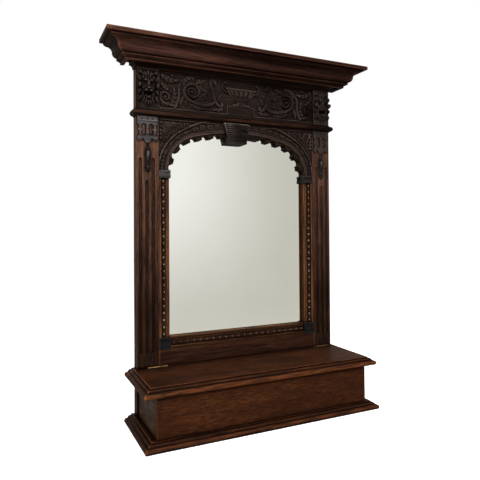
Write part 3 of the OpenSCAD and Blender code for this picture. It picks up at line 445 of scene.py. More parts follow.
# Painted highlights on the carving's heights, and painted shade darkening the boards towards the right.
carved_oak = oak("carved_oak", (0.04, 0.0258, 0.0215), (0.0205, 0.0143, 0.0122), (0.14, 0.086, 0.068), 0,
                 wear_and_glint=0.4, dirt_and_shade=0.95, black=0.55, reach=0.0065,
                 painted_highlight=((FRONT + 2.5) / 1000, (FRONT - 0.6) / 1000, 0.16), painted_shading=("X", -0.2, 0.2, 1.0, 0.55))
HANDS = ((-1, "left"), (1, "right"))
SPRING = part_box("arch_right")[0].z * 1000
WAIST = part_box("arch_right")[1].z * 1000
STILE_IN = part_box("arch_right")[1].x * 1000
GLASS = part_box("arch_right")[1].y * 1000


def arch_line(half, rise, side):
    """A three-centred arch over the springing line: side radius and centre, top radius and centre, lean."""
    top = ((half - side) ** 2 + rise ** 2 - side ** 2) / (2 * (rise - side))
    return side, half - side, top, rise - top, math.atan2(half - side, top - rise)


def arch_point(line, length, out):
    """The point at a length along an arch line and a distance outside it."""
    side, side_x, top, top_z, lean = line
    angle = length / side
    turned = lean - (length - side * (math.pi / 2 - lean)) / top
    at_side = angle < math.pi / 2 - lean
    return (np.where(at_side, side_x + (side + out) * np.cos(angle), (top + out) * np.sin(turned)),
            np.where(at_side, (side + out) * np.sin(angle), top_z + (top + out) * np.cos(turned)))


def arch_place(line, x, z):
    """How far along an arch line a point lies, and how far outside it."""
    side, side_x, top, top_z, lean = line
    angle = np.arctan2(z, x - side_x)
    turned = np.arctan2(x, z - top_z)
    at_side = angle < math.pi / 2 - lean
    return (np.where(at_side, side * angle, side * (math.pi / 2 - lean) + top * (lean - turned)),
            np.where(at_side, np.hypot(x - side_x, z) - side, np.hypot(x, z - top_z) - top))


def dome(far):
    """A round boss, 1 in its middle and 0 at distance 1."""
    return np.sqrt(unit(1 - far ** 2))


def lay(height, where, over):
    """A surface with another one laid on it in a place, as far as that stands higher."""
    return np.where(where, np.maximum(height, over), height)


TIPS = arch_line(202, 102, 87)
RIB = arch_line(240, 158, 125)
BAND_MIDDLE, BAND_IN, BAND_OUT, BAND_END = 16, 12.0, 20.5, 36.0
HUSK_LOW, HUSK_GAP, HUSK_PITCH = 23.0, 3.5, 21.0
FOOT_PEARLS, FOOT_PEARL_PITCH = 31, 8.0
RIB_HALF, SPANDREL_GROUND = 3.1, -3.4
BEAD_LINE, BEAD_HALF, BEAD_STEP = 17.5, 2.6, 5.5
BORDER, TOP_BORDER, SIDE_BORDER = 8.0, 5.2, 1.6
ARCH_LENGTH = TIPS[0] * (math.pi / 2 - TIPS[4]) + TIPS[2] * TIPS[4]
BAND_LINES, SPANDREL_LINES, ARCH_COLUMNS = 27, 64, 360
# Leaves in a row, their first place and pitch along the rib, distance from it, length, half width, height
LEAF_ROWS = ((17, 16, 8.4, 0, 15, 3.9, 6.2), (8, 52, 14, 20, 22, 6.4, 6.6), (4, 84, 17, 40, 20, 7.6, 6.6))


def arch_relief(x, z):
    """Height of the carving over the arch board, in millimetres."""
    along_tips, out = arch_place(TIPS, x, z)
    along_rib, past_rib = arch_place(RIB, x, z)
    height = 1.1 * swell(np.abs(out - BAND_MIDDLE), 1.5, 4.5) - 0.4

    husk_high = out - past_rib - HUSK_GAP
    across = (out - HUSK_LOW) / np.maximum(husk_high - HUSK_LOW, 1)
    middle = (across - 0.5) * 2
    run = (along_tips - FOOT_PEARLS) / HUSK_PITCH
    step = run - np.floor(run)
    length = unit((step - 0.02) / 0.84)
    flare = np.clip(0.96 * (1 - length ** 3.2), 0.001, 1) * unit(0.5 + 3 * length)
    husk = 4.4 * dome(middle / flare) * (0.75 + 0.25 * np.cos(middle / flare * 2 * math.pi)) * (step < 0.86)
    husk = np.where(run > 0, husk, 0)
    pearl_run = (along_tips + 1) / FOOT_PEARL_PITCH
    pearl = pearl_run - np.floor(pearl_run) - 0.5
    pearls = 4.2 * dome(np.hypot(pearl * 2.15, middle * 1.05)) * (along_tips < FOOT_PEARLS)
    chain = np.maximum(husk, pearls) - 3.2
    in_chain = swell(out, BAND_OUT, BAND_OUT + 1.2)
    height = height * (1 - in_chain) + chain * in_chain
    on_rib = np.abs(past_rib) < RIB_HALF
    height = lay(height, on_rib, 3.4 * dome(past_rib / RIB_HALF) - 0.6)

    beyond = past_rib - RIB_HALF
    spray = np.full_like(x, SPANDREL_GROUND)
    for leaves, first, pitch, near, reach, half, rise in LEAF_ROWS:
        for k in range(leaves):
            slant = math.radians(62 - 1.6 * k * pitch / 8.4)
            onward, outward = along_rib - first - pitch * k, beyond - near
            a = onward * math.cos(slant) + outward * math.sin(slant)
            b = outward * math.cos(slant) - onward * math.sin(slant) - 0.014 * a * a
            part = unit(a / reach)
            wide = half * np.sin(math.pi * unit(part * 0.9 + 0.1)) ** 0.55 + 0.01
            lobe = rise * dome(b / wide) * (0.7 + 0.3 * np.cos(b / wide * 5.2)) * (0.62 + 0.38 * part)
            spray = lay(spray, (a > 0) & (a < reach), lobe - 2.9)
    string = 3.4 * np.abs(np.sin(along_rib / BEAD_STEP * math.pi)) ** 0.7
    string = string * dome((beyond - BEAD_LINE) / BEAD_HALF) - 2.9
    spray = lay(spray, np.abs(beyond - BEAD_LINE) < BEAD_HALF, string)
    corner_x, corner_z = STILE_IN - 8 - x, WAIST - SPRING - 9 - z
    turn = np.arctan2(corner_z, corner_x)
    far = np.hypot(corner_x, corner_z)
    tongue = 4.6 * dome(np.sin(turn * 5.0) * 0.9) * dome(unit(far / 17)) ** 0.6 - 3.2
    spray = np.maximum(spray, np.where((corner_x > -2) & (corner_z > -2), tongue, SPANDREL_GROUND))
    height = np.where(beyond > 0, spray, height)

    side_edge, top_edge = STILE_IN - x, WAIST - SPRING - z
    in_border = (np.minimum(side_edge, top_edge) < BORDER) & (beyond > 0)
    height = np.where(in_border, np.minimum(height, -3.0), height)
    top_fillet = 0.2 + 0.4 * dome((top_edge - 2.4) / 2.6)
    height = np.where(top_edge < TOP_BORDER, np.maximum(top_fillet, np.where(on_rib, height, -9)), height)
    height = np.where(side_edge < SIDE_BORDER, 0.1, height)
    foot = swell(z, 0.5, 2.5)
    ripple = 0.16 * np.sin(x * 0.9 + 1.7 * np.sin(z * 0.31)) * np.sin(z * 0.83 + 1.3 * np.sin(x * 0.27))
    return height * foot + 0.3 * (1 - foot) + ripple


lengths = np.linspace(0, ARCH_LENGTH, ARCH_COLUMNS)
side, side_x, top, top_z, lean = TIPS
rays = lengths / side
tilts = lean - (lengths - side * (math.pi / 2 - lean)) / top
with np.errstate(divide="ignore"):
    to_stile = (STILE_IN - side_x) / np.cos(rays) - side
    to_waist = (WAIST - SPRING) / np.sin(rays) - side
    over_top = (WAIST - SPRING - top_z) / np.cos(tilts) - top
nearest = np.minimum(np.where(np.cos(rays) > 0.01, to_stile, 999), np.where(rays > 0.01, to_waist, 999))
limits = np.where(rays < math.pi / 2 - lean, nearest, over_top)
band = np.linspace(BAND_IN, BAND_END, BAND_LINES)
rest = np.linspace(0, 1, SPANDREL_LINES + 1)[1:]
outs = np.concatenate([np.tile(band, (ARCH_COLUMNS, 1)),
                       BAND_END + (limits[:, None] - BAND_END) * rest[None, :]], 1)
board_x, board_z = arch_point(TIPS, lengths[:, None], outs)
board_y = FRONT + 2 - arch_relief(board_x, board_z)
for hand, name in HANDS:
    front = np.stack([hand * board_x, board_y, board_z + SPRING], -1)
    board = carving("arch_board_" + name, front, GLASS, carved_oak)
    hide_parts("arch_" + name)

# Scalloped fringe
# A thinner edge of the same boards inside the arch band, cut back a little behind it. Round bites
# leave blunt teeth, and each tooth is carved with a small trefoil.

fringe_oak = oak("fringe_oak", (0.016, 0.0115, 0.0095), (0.009, 0.0068, 0.0056), (0.11, 0.048, 0.022), 0,
                 wear_and_glint=0.22)
BITE, BITE_PITCH, BITE_START, BITES = 10.4, 34.8, 7.0, 6
FRINGE_BACK, RIM_HEIGHT, TREFOIL_DEPTH = 4.0, 0.8, 3.0
# Each lobe's place beside the tooth's middle, and its half length and half width
TREFOIL = ((0, 4.2, 2.1), (-4.2, 3.0, 1.9), (4.2, 3.0, 1.9))
marks = []
for k in range(BITES):
    centre = BITE_START + k * BITE_PITCH
    for angle in np.linspace(math.pi, 0, 19):
        marks.append((centre + BITE * math.cos(angle), BITE * math.sin(angle)))
    by_keystone = k == BITES - 1
    tooth = ARCH_LENGTH - centre - BITE if by_keystone else BITE_PITCH - 2 * BITE
    for part in np.linspace(0, 1, 60)[1:] if by_keystone else np.linspace(0, 1, 15)[1:-1]:
        bulge = 0 if by_keystone else 0.9 * abs(math.sin(3 * math.pi * part))
        marks.append((centre + BITE + tooth * part, -bulge))
marks = np.array([mark for mark in marks if mark[0] >= 0])
marks = np.concatenate([[[0, marks[0, 1]]], marks])
depth = np.linspace(0, 1, 15)
fringe_out = marks[:, 1:2] + (BAND_IN + 1 - marks[:, 1:2]) * depth[None, :]
fringe_x, fringe_z = arch_point(TIPS, marks[:, :1], fringe_out)
tooth_run = (marks[:, :1] - BITE_START) / BITE_PITCH + 0.5
off_tooth = tooth_run - np.floor(tooth_run)
off_tooth = np.minimum(off_tooth, 1 - off_tooth) * BITE_PITCH * np.sign(0.5 - off_tooth)
trefoil = np.zeros_like(fringe_out)
for beside, reach, wide in TREFOIL:
    far = np.hypot((off_tooth - beside) / wide, (fringe_out - 3.4 - abs(beside) * 0.35) / reach)
    trefoil = np.maximum(trefoil, dome(far))
rim = RIM_HEIGHT * swell(depth[None, :], 0.0, 0.14)
fringe_y = FRONT + FRINGE_BACK + 1.2 - rim - TREFOIL_DEPTH * trefoil
for hand, name in HANDS:
    front = np.stack([hand * fringe_x, fringe_y, fringe_z + SPRING], -1)
    fringe = carving("fringe_" + name, front, GLASS, fringe_oak)

# Keystone
# An oak wedge notched over the joint of the arch boards, with its foot standing on the glass. A plain
# swelling leaf runs down its face. The left flank is cut in six rounded courses, and the right one in
# two broad swells.

# The left flank is painted brighter, as painted light from the left.
key_oak = oak("key_oak", (0.0165, 0.0118, 0.01), (0.009, 0.0064, 0.0054), (0.12, 0.098, 0.088), 0,
              wear_and_glint=0.9, dirt_and_shade=0.95, painted_shading=("X", -0.034, -0.016, 2.0, 0.85))
low, high = (corner * 1000 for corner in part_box("keystone"))
KEY_FACE, KEY_HIGHEST, KEY_COURSES, KEY_SWELLS = 8.6, 11.8, 6, 2
across, up = np.meshgrid(np.linspace(-1, 1, 131), np.linspace(0, 1, 113), indexing="ij")
key_left, key_right = low.x + 15.0 - 17.0 * up, high.x - 13.0 + 11.0 * up
leaf_middle, leaf_half = -11.5 - 6.5 * up, 8.4 + 4.8 * up
part = (np.abs(across) - 0.3) / 0.7
left_x = (leaf_middle - leaf_half) * (1 - part) + key_left * part
right_x = (leaf_middle + leaf_half) * (1 - part) + key_right * part
leaf_x = leaf_middle + leaf_half * across / 0.3
key_x = np.where(across < -0.3, left_x, np.where(across > 0.3, right_x, leaf_x))
flank = unit(part)
rib_end = np.where(across < 0, 0.86, 0.66)
courses = np.where(across < 0, KEY_COURSES, KEY_SWELLS)
course = np.abs(np.sin(math.pi * unit((up - 0.3) / 0.64) * courses + 0.35 * flank)) ** 0.6
ribbed = swell(up, 0.27, 0.31) * swell(up, 0.955, 0.93)
ribs = (np.where(across < 0, 3.4, 5.4) * course - 1.9) * ribbed
ribs = ribs * swell(flank, 0.03, 0.12) * swell(flank, rib_end + 0.06, rib_end)
fillet = 1.7 * swell(flank, 0.885, 0.905) * (across < 0)
slope = -6.5 * swell(flank, 0.62, 1.0) * (across > 0)
leaf_swell = 3.0 * dome(np.clip(across / 0.3, -1, 1)) * swell(up, 0.18, 0.5) * swell(up, 1.0, 0.86)
sill = 1.3 * swell(up, 0.085, 0.055) - 1.2 * dome((up - 0.12) / 0.04)
key_out = np.minimum(KEY_FACE + ribs + fillet + slope + leaf_swell + sill, KEY_HIGHEST)
key_out[0], key_out[-1] = -0.5, -0.5
key_x[1], key_x[-2] = key_x[0], key_x[-1]
front = np.stack([key_x, FRONT - key_out, low.z + (high.z - low.z) * up], -1)
key = carving("keystone_carved", front, GLASS - 0.05, key_oak)
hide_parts("keystone")

# Strap plates
# Pierced oak plates stained slate black and pinned on the stiles under the waist: a band with three
# pin holes, a middle bar, two outer bars with a knob each, and three lobes below. The right one is
# painted darker and browner, as painted shade.

def spline(points, steps=9):
    """A smooth line through some points."""
    points = np.array([points[0], *points, points[-1]], float)
    line = []
    for a, b, c, d in zip(points, points[1:], points[2:], points[3:]):
        for t in np.arange(steps) / steps:
            line.append(0.5 * (2 * b + (c - a) * t + (2 * a - 5 * b + 4 * c - d) * t * t
                               + (3 * b - a - 3 * c + d) * t ** 3))
    return np.array([*line, points[-1]])


def pierced_plate(name, outline, holes, back, front, finish):
    """A flat plate with a chamfered face from its outline and its holes, all in turn the same way round."""
    shape = bmesh.new()
    rims = []
    for index, loop in enumerate([outline, *holes]):
        way = np.roll(loop, -1, axis=0) - np.roll(loop, 1, axis=0)
        way /= np.hypot(way[:, 0], way[:, 1])[:, None]
        inward = np.stack([way[:, 1], -way[:, 0]], -1) * (1 if index == 0 else -1)
        rings = []
        for y, inset in ((back, 0), (front + PLATE_CHAMFER, 0), (front, PLATE_CHAMFER)):
            rings.append([shape.verts.new((px / 1000, y / 1000, pz / 1000))
                          for px, pz in loop + inward * inset])
        for first, second in zip(rings, rings[1:]):
            for k in range(len(loop)):
                after = (k + 1) % len(loop)
                shape.faces.new((first[k], first[after], second[after], second[k]))
        rims.append((rings[0], rings[-1]))
    for side in (0, 1):
        edges = [shape.edges.get((rim[side][k], rim[side][k - 1]))
                 for rim in rims for k in range(len(rim[side]))]
        bmesh.ops.triangle_fill(shape, use_beauty=True, edges=edges)
    mesh = bpy.data.meshes.new(name)
    shape.to_mesh(mesh)
    shape.free()
    return dress(name, mesh, finish)


PLATE_CHAMFER = 0.5
HALF_OUTLINE = [
    (0, 806), (27, 806), (27, 806), (27, 788), (25.6, 783.6), (22.8, 782), (22.8, 776), (24.8, 773.6),
    (25.4, 771), (24.8, 768.4), (22.8, 766), (22.8, 757), (25.6, 753.6), (27, 748.6), (25.6, 744),
    (21.5, 741.4), (17, 742.2), (14, 745.2), (12.4, 748.6), (10.4, 746.4), (8.8, 742), (6.2, 738.4),
    (2.6, 736), (0, 734.6)]
OPENING = [
    (9.5, 787), (14.2, 784.6), (16.8, 778), (15.8, 774.6), (13.2, 772.6), (13.2, 769.4), (16, 767),
    (16.8, 762), (13.4, 757), (8.6, 755.6), (5.0, 757.4), (3.6, 762), (3.4, 771), (3.6, 780), (5.6, 785.4),
    (9.5, 787)]
PINS, PIN_RADIUS = [(-14, 799), (0, 800), (14, 799)], 1.8
edge = spline(HALF_OUTLINE, 4)
outline = np.concatenate([edge, edge[-2:0:-1] * (-1, 1)])
opening = spline(OPENING, 4)[:-1]
turns = np.linspace(0, -2 * math.pi, 13)[:-1]
pins = [np.stack([px + PIN_RADIUS * np.cos(turns), pz + PIN_RADIUS * np.sin(turns)], -1) for px, pz in PINS]
# The right plate's slate, painted darker and browner as shade.
slate_brown_shaded = oak("slate_brown_shaded", (0.0215, 0.0155, 0.013), (0.0088, 0.007, 0.0062), (0.05, 0.04, 0.034), 0,
                  dirt_and_shade=0.9)
for name, stain in (("left", slate), ("right", slate_brown_shaded)):
    low, high = (corner * 1000 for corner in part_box("strap_plate_" + name))
    middle = ((low.x + high.x) / 2, 0)
    holes = [opening + middle, (opening * (-1, 1))[::-1] + middle, *[pin + middle for pin in pins]]
    plate = pierced_plate("strap_pierced_" + name, outline + middle, holes, high.y, low.y, stain)
    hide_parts("strap_plate_" + name)

# Drops
# Turned pendants of black stained wood, split in half and glued on the stiles under the strap
# plates, one under each.

# A painted highlight on the front of each drop.
drop_wood = oak("drop_wood", (0.012, 0.011, 0.01), (0.006, 0.0057, 0.0053), (0.1, 0.09, 0.08), 2, wear_and_glint=0.2,
                painted_highlight=(FRONT / 1000 - 0.005, FRONT / 1000 - 0.0072, 0.6))
DROP_X, DROP_STEPS = 270.0, 20
# Height and radius all the way down
DROP_PROFILE = [
    (734.4, 0.6), (733.2, 2.6), (731, 3.4), (728.4, 3.0), (726.4, 1.9), (724.6, 2.4), (722.6, 5.0),
    (720.4, 6.1), (718.6, 5.4), (717.2, 3.4), (715.8, 3.8), (714.4, 6.4), (711.4, 7.4), (706, 7.2),
    (698, 6.3), (688, 5.3), (679, 4.4), (675.6, 4.1), (674.2, 5.6), (671.8, 6.5), (669.4, 5.7),
    (668.2, 3.8), (666.8, 4.4), (664.6, 5.1), (662.2, 4.3), (660, 2.4), (657.7, 0.5)]
angles = [math.pi * k / DROP_STEPS for k in range(DROP_STEPS + 1)]
for hand, name in HANDS:
    turned = bmesh.new()
    rings = [[turned.verts.new(((hand * DROP_X + radius * math.cos(angle)) / 1000,
                                (FRONT - radius * math.sin(angle)) / 1000, height / 1000))
              for angle in angles] for height, radius in DROP_PROFILE]
    for upper, lower in zip(rings, rings[1:]):
        for k in range(DROP_STEPS + 1):
            after = (k + 1) % (DROP_STEPS + 1)
            turned.faces.new((upper[k], upper[after], lower[after], lower[k]))
    turned.faces.new(rings[0])
    turned.faces.new(rings[-1])
    mesh = bpy.data.meshes.new("drop")
    turned.to_mesh(mesh)
    turned.free()
    drop = dress("drop_turned_" + name, mesh, drop_wood, sharp=60)
    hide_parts("drop_" + name)

# Beads and pearls
# Turned bead-and-reel strips lie in the channels round the glass, and a short string of pearls
# stands in each outer corner of the arch. All are oak, turned or carved and glued in.

def bead_tree():
    """Geometry nodes for a string of beads with reels between them on a round core."""
    tree = bpy.data.node_groups.new("string_of_beads", "GeometryNodeTree")
    for label, kind in (("Start", "Vector"), ("End", "Vector"), ("Count", "Int"), ("Bead Radius", "Float"),
                        ("Bead Stretch", "Float"), ("Reel Radius", "Float"), ("Reel Stretch", "Float"),
                        ("Core Radius", "Float"), ("Finish", "Material")):
        tree.interface.new_socket(label, in_out="INPUT", socket_type="NodeSocket" + kind)
    tree.interface.new_socket("Geometry", in_out="OUTPUT", socket_type="NodeSocketGeometry")
    given = add(tree, "NodeGroupInput").outputs

    def vectors(operation, **inputs):
        return add(tree, "ShaderNodeVectorMath", {"operation": operation}, **inputs).outputs[0]

    def straight(count, begin, stop):
        return add(tree, "GeometryNodeMeshLine", {"mode": "END_POINTS"}, Count=count,
                   Start_Location=begin, Offset=stop).outputs[0]

    run = vectors("SUBTRACT", i0=given["End"], i1=given["Start"])
    gaps = work_out(tree, "SUBTRACT", given["Count"], 1.0)
    step = vectors("SCALE", i0=run, Scale=work_out(tree, "DIVIDE", 0.5, gaps))
    first = vectors("ADD", i0=given["Start"], i1=step)
    final = vectors("SUBTRACT", i0=given["End"], i1=step)
    way = add(tree, "FunctionNodeAlignRotationToVector", {"axis": "Z"}, Vector=run).outputs[0]
    parts = []
    for begin, stop, count, kind in ((given["Start"], given["End"], given["Count"], "Bead"),
                                     (first, final, gaps, "Reel")):
        places = straight(count, begin, stop)
        ball = add(tree, "GeometryNodeMeshUVSphere", Segments=14, Rings=9, Radius=given[kind + " Radius"])
        size = add(tree, "ShaderNodeCombineXYZ", X=1.0, Y=1.0, Z=given[kind + " Stretch"])
        bead = add(tree, "GeometryNodeTransform", Geometry=ball.outputs[0], Scale=size.outputs[0])
        parts.append(add(tree, "GeometryNodeInstanceOnPoints", Points=places, Instance=bead.outputs[0],
                         Rotation=way).outputs[0])
    line = straight(2, given["Start"], given["End"])
    curve = add(tree, "GeometryNodeMeshToCurve", Mesh=line).outputs[0]
    ring = add(tree, "GeometryNodeCurvePrimitiveCircle", Resolution=12,
               Radius=given["Core Radius"]).outputs[0]
    core = add(tree, "GeometryNodeCurveToMesh", Curve=curve, Profile_Curve=ring, Fill_Caps=True).outputs[0]
    join = add(tree, "GeometryNodeJoinGeometry")
    for part in (*parts, core):
        tree.links.new(part, join.inputs[0])
    real = add(tree, "GeometryNodeRealizeInstances", Geometry=join.outputs[0]).outputs[0]
    smooth = add(tree, "GeometryNodeSetShadeSmooth", Geometry=real).outputs[0]
    done = add(tree, "GeometryNodeSetMaterial", Geometry=smooth, Material=given["Finish"]).outputs[0]
    add(tree, "NodeGroupOutput", Geometry=done)
    return tree


def from_tree(name, tree, values):
    """Runs a geometry tree with the given inputs and keeps its result as a plain mesh."""
    seed = put(name + "_seed", bpy.data.meshes.new(name + "_seed"))
    modifier = seed.modifiers.new("made", "NODES")
    modifier.node_group = tree
    for item in tree.interface.items_tree:
        if item.in_out == "INPUT" and item.name in values:
            modifier[item.identifier] = values[item.name]
    bpy.context.view_layer.update()
    graph = bpy.context.evaluated_depsgraph_get()
    mesh = bpy.data.meshes.new_from_object(seed.evaluated_get(graph))
    seed.modifiers.remove(modifier)
    bpy.data.objects.remove(seed)
    mesh.name = name
    piece = put(name, mesh)
    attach(piece, "frame")
    return piece


strings = bead_tree()
BEAD_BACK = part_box("bead_strip_left")[1].y
# A painted highlight on the front of each bead.
BEAD_PAINTED_HIGHLIGHT = (BEAD_BACK - 0.0036, BEAD_BACK - 0.0052, 1.0)
BEAD_PITCH, BEAD_RADIUS, REEL_RADIUS, CORE_RADIUS, STRIP_END = 0.0188, 0.0054, 0.0046, 0.0026, 0.008
# The upright beads are painted lighter towards the top, as painted light.
bead_upright = oak("bead_upright", (0.021, 0.0125, 0.01), (0.011, 0.007, 0.0055), (0.13, 0.1, 0.09), 2,
                   wear_and_glint=0, painted_highlight=BEAD_PAINTED_HIGHLIGHT, painted_shading=("Z", 0.2, 0.66, 0.5, 1.1))
bead_level = oak("bead_level", (0.036, 0.0175, 0.0115), (0.02, 0.0103, 0.0075), (0.063, 0.034, 0.023), 0,
                 wear_and_glint=0, dirt_and_shade=0.6, painted_highlight=BEAD_PAINTED_HIGHLIGHT)
for name in ("left", "right", "bottom"):
    low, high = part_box("bead_strip_" + name)
    middle = (low + high) / 2
    level = name == "bottom"
    reach = (high.x - low.x if level else high.z - low.z) / 2 - STRIP_END
    axis = Vector((1, 0, 0)) if level else Vector((0, 0, 1))
    centre = Vector((middle.x, high.y, middle.z))
    beads = from_tree("beads_" + name, strings, {
        "Start": centre - axis * reach, "End": centre + axis * reach,
        "Count": round(2 * reach / BEAD_PITCH) + 1,
        "Bead Radius": BEAD_RADIUS, "Bead Stretch": 1.2, "Reel Radius": REEL_RADIUS, "Reel Stretch": 0.42,
        "Core Radius": CORE_RADIUS, "Finish": bead_level if level else bead_upright})
    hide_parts("bead_strip_" + name)

PEARL_X, PEARL_SINK, PEARL_FOOT = 234.4, 3.2, 751.5
PEARL_RADIUS, PEARL_PITCH, PEARLS = 3.9, 10.6, 5
for hand, name in HANDS:
    foot = Vector((hand * PEARL_X, FRONT + PEARL_SINK, PEARL_FOOT)) / 1000
    pearls = from_tree("pearls_" + name, strings, {
        "Start": foot, "End": foot + Vector((0, 0, PEARL_PITCH * (PEARLS - 1) / 1000)), "Count": PEARLS,
        "Bead Radius": PEARL_RADIUS / 1000, "Bead Stretch": 1.0, "Reel Radius": 0.0019, "Reel Stretch": 0.6,
        "Core Radius": 0.0014, "Finish": carved_oak})

# Frieze panel
# A thick oak board over the arch, carved in low relief: a ribbed bowl on a plinth between
# S scrolls, with a large spiral, a small one and leaves on each side.

def along(x, z, line):
    """For each grid point: distance to a line, side of it, and share of its length."""
    best, side, share = np.full(x.shape, 1e9), np.zeros(x.shape), np.zeros(x.shape)
    lengths = np.concatenate([[0], np.cumsum(np.hypot(*np.diff(line, axis=0).T))])
    for k, ((ax, az), (bx, bz)) in enumerate(zip(line, line[1:])):
        dx, dz = bx - ax, bz - az
        t = unit(((x - ax) * dx + (z - az) * dz) / (dx * dx + dz * dz))
        far = np.hypot(x - ax - t * dx, z - az - t * dz)
        nearer = far < best
        best = np.where(nearer, far, best)
        side = np.where(nearer, np.sign(dx * (z - az) - dz * (x - ax)), side)
        share = np.where(nearer, (lengths[k] + t * (lengths[k + 1] - lengths[k])) / lengths[-1], share)
    return best, side, share


def scroll(height, x, z, points, wide, rise, thin):
    """Raises a hollow ribbon along a line. It narrows to its end, by the share that thin gives."""
    far, _, share = along(x, z, spline(points))
    edge = far / (wide * (1 - (1 - thin) * share ** 1.5))
    hollow = 0.66 + 0.34 * (1 - np.cos(2 * math.pi * edge)) / 2
    return lay(height, edge < 1, 0.9 * rise * np.sqrt(unit(1 - edge ** 6)) * hollow)


def leaf(height, x, z, points, wide, rise, lobes):
    """Raises a lobed leaf with a sunk midrib along a line."""
    far, side, share = along(x, z, spline(points))
    bite = 0.58 + 0.42 * np.abs(np.sin(math.pi * (lobes * share + 0.15 * side))) ** 0.6
    edge = far / (wide * np.sin(math.pi * (0.06 + 0.9 * share) ** 0.8) * bite + 0.05)
    vein = 0.84 + 0.16 * np.cos(2 * math.pi * (lobes * share - far / wide * 0.8))
    blade = 1.3 * rise * np.sqrt(unit(1 - edge ** 2)) * vein - 1.3 * np.exp(-(far / 0.9) ** 2)
    return lay(height, edge < 1, blade)


def frill(x, z, centre, count, twist, radius, wide, rise):
    """Leaf tips in a ring: the distance from its middle line, and their height."""
    ring, spoke = np.hypot(x - centre[0], z - centre[1]), np.arctan2(z - centre[1], x - centre[0])
    tips = np.abs(np.sin(spoke * count + ring * twist)) ** 0.7
    return np.abs(ring - radius), rise * tips * dome((ring - radius) / wide)


FRIEZE_GROUND, FRIEZE_HIGHEST, FRIEZE_COLUMNS = FRONT + 2, 8.9, 491
BOWL_FOOT, BOWL_RIM, STEM_FOOT, PLINTH_TOP, PLINTH_FOOT = 868, 904, 862, 858, 833
SPIRAL, SMALL_SPIRAL = (147, 883), (222, 864)
SILL, TOP_FILLET, SIDE_FILLET = 832.6, 927.5, 236.6
# Points on each leaf's line, half width, height and lobes
LEAVES = (
    ([(58, 846), (66, 842), (78, 842), (88, 838)], 6.5, 4.6, 4),
    ([(232, 920), (216, 911), (200, 908), (184, 912)], 10.5, 6.2, 4),
    ([(208, 840), (199, 856), (196, 872), (200, 892)], 9, 6, 5),
    ([(172, 900), (164, 914), (150, 922), (138, 921)], 8, 6, 4),
    ([(134, 908), (120, 915), (106, 921)], 9, 6, 4),
    ([(124, 897), (112, 892), (99, 884)], 8.5, 6, 4),
    ([(170, 870), (178, 858), (181, 842)], 7, 5.4, 4),
    ([(216, 882), (224, 890), (235, 899)], 7.5, 5.8, 3),
    ([(150, 850), (134, 842), (116, 840), (100, 842)], 7, 5, 5),
    ([(70, 868), (66, 878), (62, 888)], 5, 4.4, 3))
# Points on each scroll's line, half width, height and the share of its width that its end keeps
SCROLLS = (
    ([(44, 896), (53, 900), (57, 910), (54, 919), (49, 921)], 2.8, 6.5, 0.55),
    ([(79, 913), (81, 920), (88, 922), (92, 915), (90, 904), (86, 892), (83, 880), (80, 868), (73, 857),
      (64, 852), (58, 855), (60, 861)], 5.0, 7.4, 0.7),
    ([(84, 860), (98, 852), (116, 850), (136, 854), (156, 862), (168, 876), (168, 892), (158, 903),
      (143, 906), (131, 899), (127, 886), (132, 874), (144, 869), (155, 875), (158, 886), (150, 894),
      (141, 890)], 4.4, 7.6, 0.5),
    ([(196, 838), (190, 850), (186, 864), (185, 880), (184, 894), (178, 906), (168, 916), (160, 923)],
     4.2, 7.4, 0.5),
    ([(202, 842), (212, 844), (226, 847), (235, 857), (234, 870), (224, 876), (214, 871), (212, 861),
      (220, 856), (226, 862)], 3.8, 7.0, 0.6))
# Place, radius and height of each round boss
BOSSES = (
    ((148, 884), 4.6, 8.2), ((221, 864), 3.0, 7.0), ((124, 901), 3.4, 7.6), ((145, 920), 3.0, 7),
    ((231, 922), 3.6, 7), ((203, 922), 3.6, 7), ((60, 858), 3.2, 7.6), ((49, 921), 3.0, 7.4),
    ((82, 916), 2.8, 7.6), ((104, 868), 3.0, 6), ((110, 874), 2.4, 5.6), ((98, 875), 2.4, 5.6))
# Painted highlights on the relief's heights, and painted shade darkening it towards the right.
frieze_oak = oak("frieze_oak", (0.0225, 0.0148, 0.0122), (0.0122, 0.0084, 0.0072), (0.125, 0.086, 0.072), 0,
                 dirt_and_shade=0.74, wear_and_glint=0.7, painted_highlight=(FRONT / 1000 - 0.0036, FRONT / 1000 - 0.0058, 0.15),
                 painted_shading=("X", -0.24, 0.24, 1.08, 0.7))
frieze_low, frieze_high = (corner * 1000 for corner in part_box("frieze_panel"))
xs = np.linspace(0, frieze_high.x, (FRIEZE_COLUMNS + 1) // 2)
zs = np.concatenate([[frieze_low.z, 815.0, 822.0], np.arange(824.0, 936.0, 0.9), [940.0, frieze_high.z]])
x, z = np.meshgrid(xs, zs, indexing="ij")
relief = 0.5 * np.sin(x * 1.9 + 2 * np.sin(z * 0.7)) * np.sin(z * 2.1 + 2 * np.sin(x * 0.6))
bowl = np.clip(46 * np.sqrt(unit((z - BOWL_FOOT) / 36)) ** 0.9, 0.01, 47)
turn = np.arcsin(unit(x / bowl))
gadroon = 4.4 * np.cos(turn) ** 0.6 + 4.4 * np.abs(np.cos(turn * 8)) ** 0.8 * swell(z, 876, 890)
relief = lay(relief, (z > BOWL_FOOT) & (z < BOWL_RIM) & (x < bowl), gadroon)
relief = lay(relief, (np.abs(z - 905.5) < 2.6) & (x < 48.5), 8.0 * dome((z - 905.5) / 2.6) ** 0.6)
relief = lay(relief, (z > STEM_FOOT) & (z < 869) & (x < 12), 5.6 * dome((z - 865.5) / 3.6))
relief = lay(relief, (z > PLINTH_TOP) & (z < 862.5) & (x < 26), 5.2)
relief = lay(relief, (z > PLINTH_FOOT) & (z < PLINTH_TOP) & (x < 41 + 3 * dome((z - 845) / 14)), 3.4)
